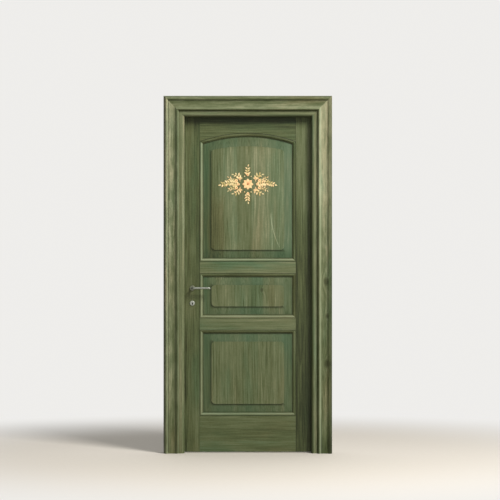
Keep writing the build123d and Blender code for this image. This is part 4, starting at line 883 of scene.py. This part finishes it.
# Metal and rubber
metal = {
    "satin_nickel": {"colour": colour(150, 153, 143), "rough": 0.36, "grain": 900},
    "dull_nickel": {"colour": colour(139, 143, 134), "rough": 0.34, "grain": 900},
    "aged_nickel": {"colour": colour(109, 112, 94), "rough": 0.4, "grain": 900},
    "zinc_plate": {"colour": colour(180, 180, 176), "rough": 0.42, "grain": 500},
    # dark steel that stands for the shade inside the lock, behind the keyhole
    "keyhole_shade_steel": {"colour": colour(30, 29, 26), "rough": 0.6, "grain": 700},
}
polish = {
    "stretch": (0.05, 1, 1), "roughLow": 0.05, "roughSpread": 0.14, "bump": 0.12, "bumpHeight": 0.0002,
    "smudgeNoise": (60.0, 4.0), "smudgeValues": (0.4, 0.75), "smudgeAmount": 0.35, "smudgeDark": 0.62,
}
rubber = {
    "view": colour(34, 34, 30), "dark": colour(28, 28, 25), "pale": colour(46, 45, 40), "rough": 0.7,
    "grain": 700.0, "bump": 0.15, "bumpHeight": 0.0003,
}


def metalMaterial(name):
    look = metal[name]
    material, tree, shader, position = newMaterial(name, look["colour"])
    drawnOut = {"Vector": position, "Scale": polish["stretch"]}
    lines = noise(tree, addNode(tree, "ShaderNodeMapping", drawnOut).outputs[0], look["grain"])
    smudge = noise(tree, position, *polish["smudgeNoise"])
    smudge = ramp(tree, smudge, *polish["smudgeValues"], 0.0, polish["smudgeAmount"])
    smudged = tuple(value * polish["smudgeDark"] for value in look["colour"][:3]) + (1.0,)
    plug(tree, blendColour(tree, smudge, look["colour"], smudged), shader.inputs["Base Color"])
    shader.inputs["Metallic"].default_value = 1.0
    uneven = calc(tree, "MULTIPLY", lines, polish["roughSpread"])
    plug(tree, calc(tree, "ADD", look["rough"] - polish["roughLow"], uneven), shader.inputs["Roughness"])
    addBump(tree, shader, lines, polish["bump"], polish["bumpHeight"])
    return material


def rubberMaterial():
    material, tree, shader, position = newMaterial("dark_rubber", rubber["view"])
    grain = noise(tree, position, rubber["grain"])
    plug(tree, blendColour(tree, grain, rubber["dark"], rubber["pale"]), shader.inputs["Base Color"])
    shader.inputs["Roughness"].default_value = rubber["rough"]
    addBump(tree, shader, grain, rubber["bump"], rubber["bumpHeight"])
    return material


satinNickel = metalMaterial("satin_nickel")
hardware = [  # the first row with a word that is in the node's name holds; the rest is satin nickel
    (("gasket",), rubberMaterial()),
    (("strike_plate", "lock", "bolt", "faceplate", "corner", "spindle", "follower"),
     metalMaterial("zinc_plate")),
    (("rosette",), metalMaterial("aged_nickel")),
    (("front_lever", "back_lever"), metalMaterial("dull_nickel")),
]
for name in nodes:
    if name in leafLook or name in panelLook or name in frameLook or "moulding" in name:
        continue
    fitting = [material for words, material in hardware if any(word in name for word in words)]
    dress(name, fitting[0] if fitting else satinNickel)
print("metal and rubber dressed")


# Keyhole shade: a dark steel disc inside the lock that paints the shade seen through the keyhole
keyholeShade = {"radius": 0.0118, "thickness": 0.0016, "behindCaseFront": 0.0035, "segments": 40}


def buildKeyholeShade():
    low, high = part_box("front_escutcheon")
    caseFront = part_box("lock_case")[0].y
    middle = ((low.x + high.x) / 2, caseFront + keyholeShade["behindCaseFront"], (low.z + high.z) / 2)
    shape = bmesh.new()
    bmesh.ops.create_cone(shape, cap_ends=True, segments=keyholeShade["segments"], depth=keyholeShade["thickness"],
                          radius1=keyholeShade["radius"], radius2=keyholeShade["radius"])
    bmesh.ops.rotate(shape, verts=shape.verts, matrix=Matrix.Rotation(math.radians(90), 3, "X"))
    bmesh.ops.translate(shape, verts=shape.verts, vec=middle)
    mesh = bpy.data.meshes.new("keyholeShadeDisc")
    shape.to_mesh(mesh)
    shape.free()
    mesh.materials.append(metalMaterial("keyhole_shade_steel"))
    piece = bpy.data.objects.new("keyholeShadeDisc", mesh)
    scene.collection.objects.link(piece)
    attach(piece, "leaf")


buildKeyholeShade()
print("curtain made")


# Floor and surround: the floor fades into the backdrop's colour, and the sky is brighter behind the door
stage = {
    "halfWidth": 16.0, "fadeStart": 1.2, "fadeEnd": 3.4, "pale": colour(222, 216, 208),
    "dull": colour(214, 208, 200), "rough": 0.75, "speckleNoise": (30.0, 4.0),
    "backdrop": (0.86, 0.85, 0.83, 1), "sky": (1.0, 0.985, 0.93, 1), "skyFront": 0.12, "skyBehind": 0.75,
    "turnStart": -0.1, "turnEnd": 0.6,
}


def shownRays(tree):  # the backdrop shows to the camera, in the metal and through glass, and lights nothing
    rays = addNode(tree, "ShaderNodeLightPath").outputs
    seen = calc(tree, "MAXIMUM", rays["Is Camera Ray"], rays["Is Glossy Ray"])
    return calc(tree, "MAXIMUM", seen, rays["Is Transmission Ray"])


def buildFloor():
    reach = stage["halfWidth"]
    corners = [(-reach, -reach, 0), (reach, -reach, 0), (reach, reach, 0), (-reach, reach, 0)]
    mesh = bpy.data.meshes.new("studioFloor")
    mesh.from_pydata(corners, [], [(0, 1, 2, 3)])
    sheet = bpy.data.objects.new("studioFloor", mesh)
    scene.collection.objects.link(sheet)
    material, tree, shader, position = newMaterial("pale_floor", stage["pale"])
    speckle = noise(tree, position, *stage["speckleNoise"])
    plug(tree, blendColour(tree, speckle, stage["dull"], stage["pale"]), shader.inputs["Base Color"])
    shader.inputs["Roughness"].default_value = stage["rough"]
    glow = addNode(tree, "ShaderNodeEmission", {"Color": stage["backdrop"]}).outputs[0]
    x, y, z = separate(tree, position)
    far = ramp(tree, hypotenuse(tree, x, y), stage["fadeStart"], stage["fadeEnd"])
    inputs = {0: calc(tree, "MULTIPLY", shownRays(tree), far), 1: shader.outputs[0], 2: glow}
    mixed = addNode(tree, "ShaderNodeMixShader", inputs).outputs[0]
    tree.links.new(mixed, tree.nodes["Material Output"].inputs["Surface"])
    mesh.materials.append(material)


def buildSurround():
    world = bpy.data.worlds.new("surround")
    world.use_nodes = True
    tree = world.node_tree
    background = tree.nodes["Background"]
    shown = shownRays(tree)
    plug(tree, blendColour(tree, shown, stage["sky"], stage["backdrop"]), background.inputs["Color"])
    behind = separate(tree, addNode(tree, "ShaderNodeTexCoord").outputs["Generated"])[1]
    sky = ramp(tree, behind, stage["turnStart"], stage["turnEnd"], stage["skyFront"], stage["skyBehind"])
    plug(tree, ramp(tree, shown, 0.0, 1.0, sky, 1.0, smooth=False), background.inputs["Strength"])
    scene.world = world


buildFloor()
buildSurround()
print("stage set")
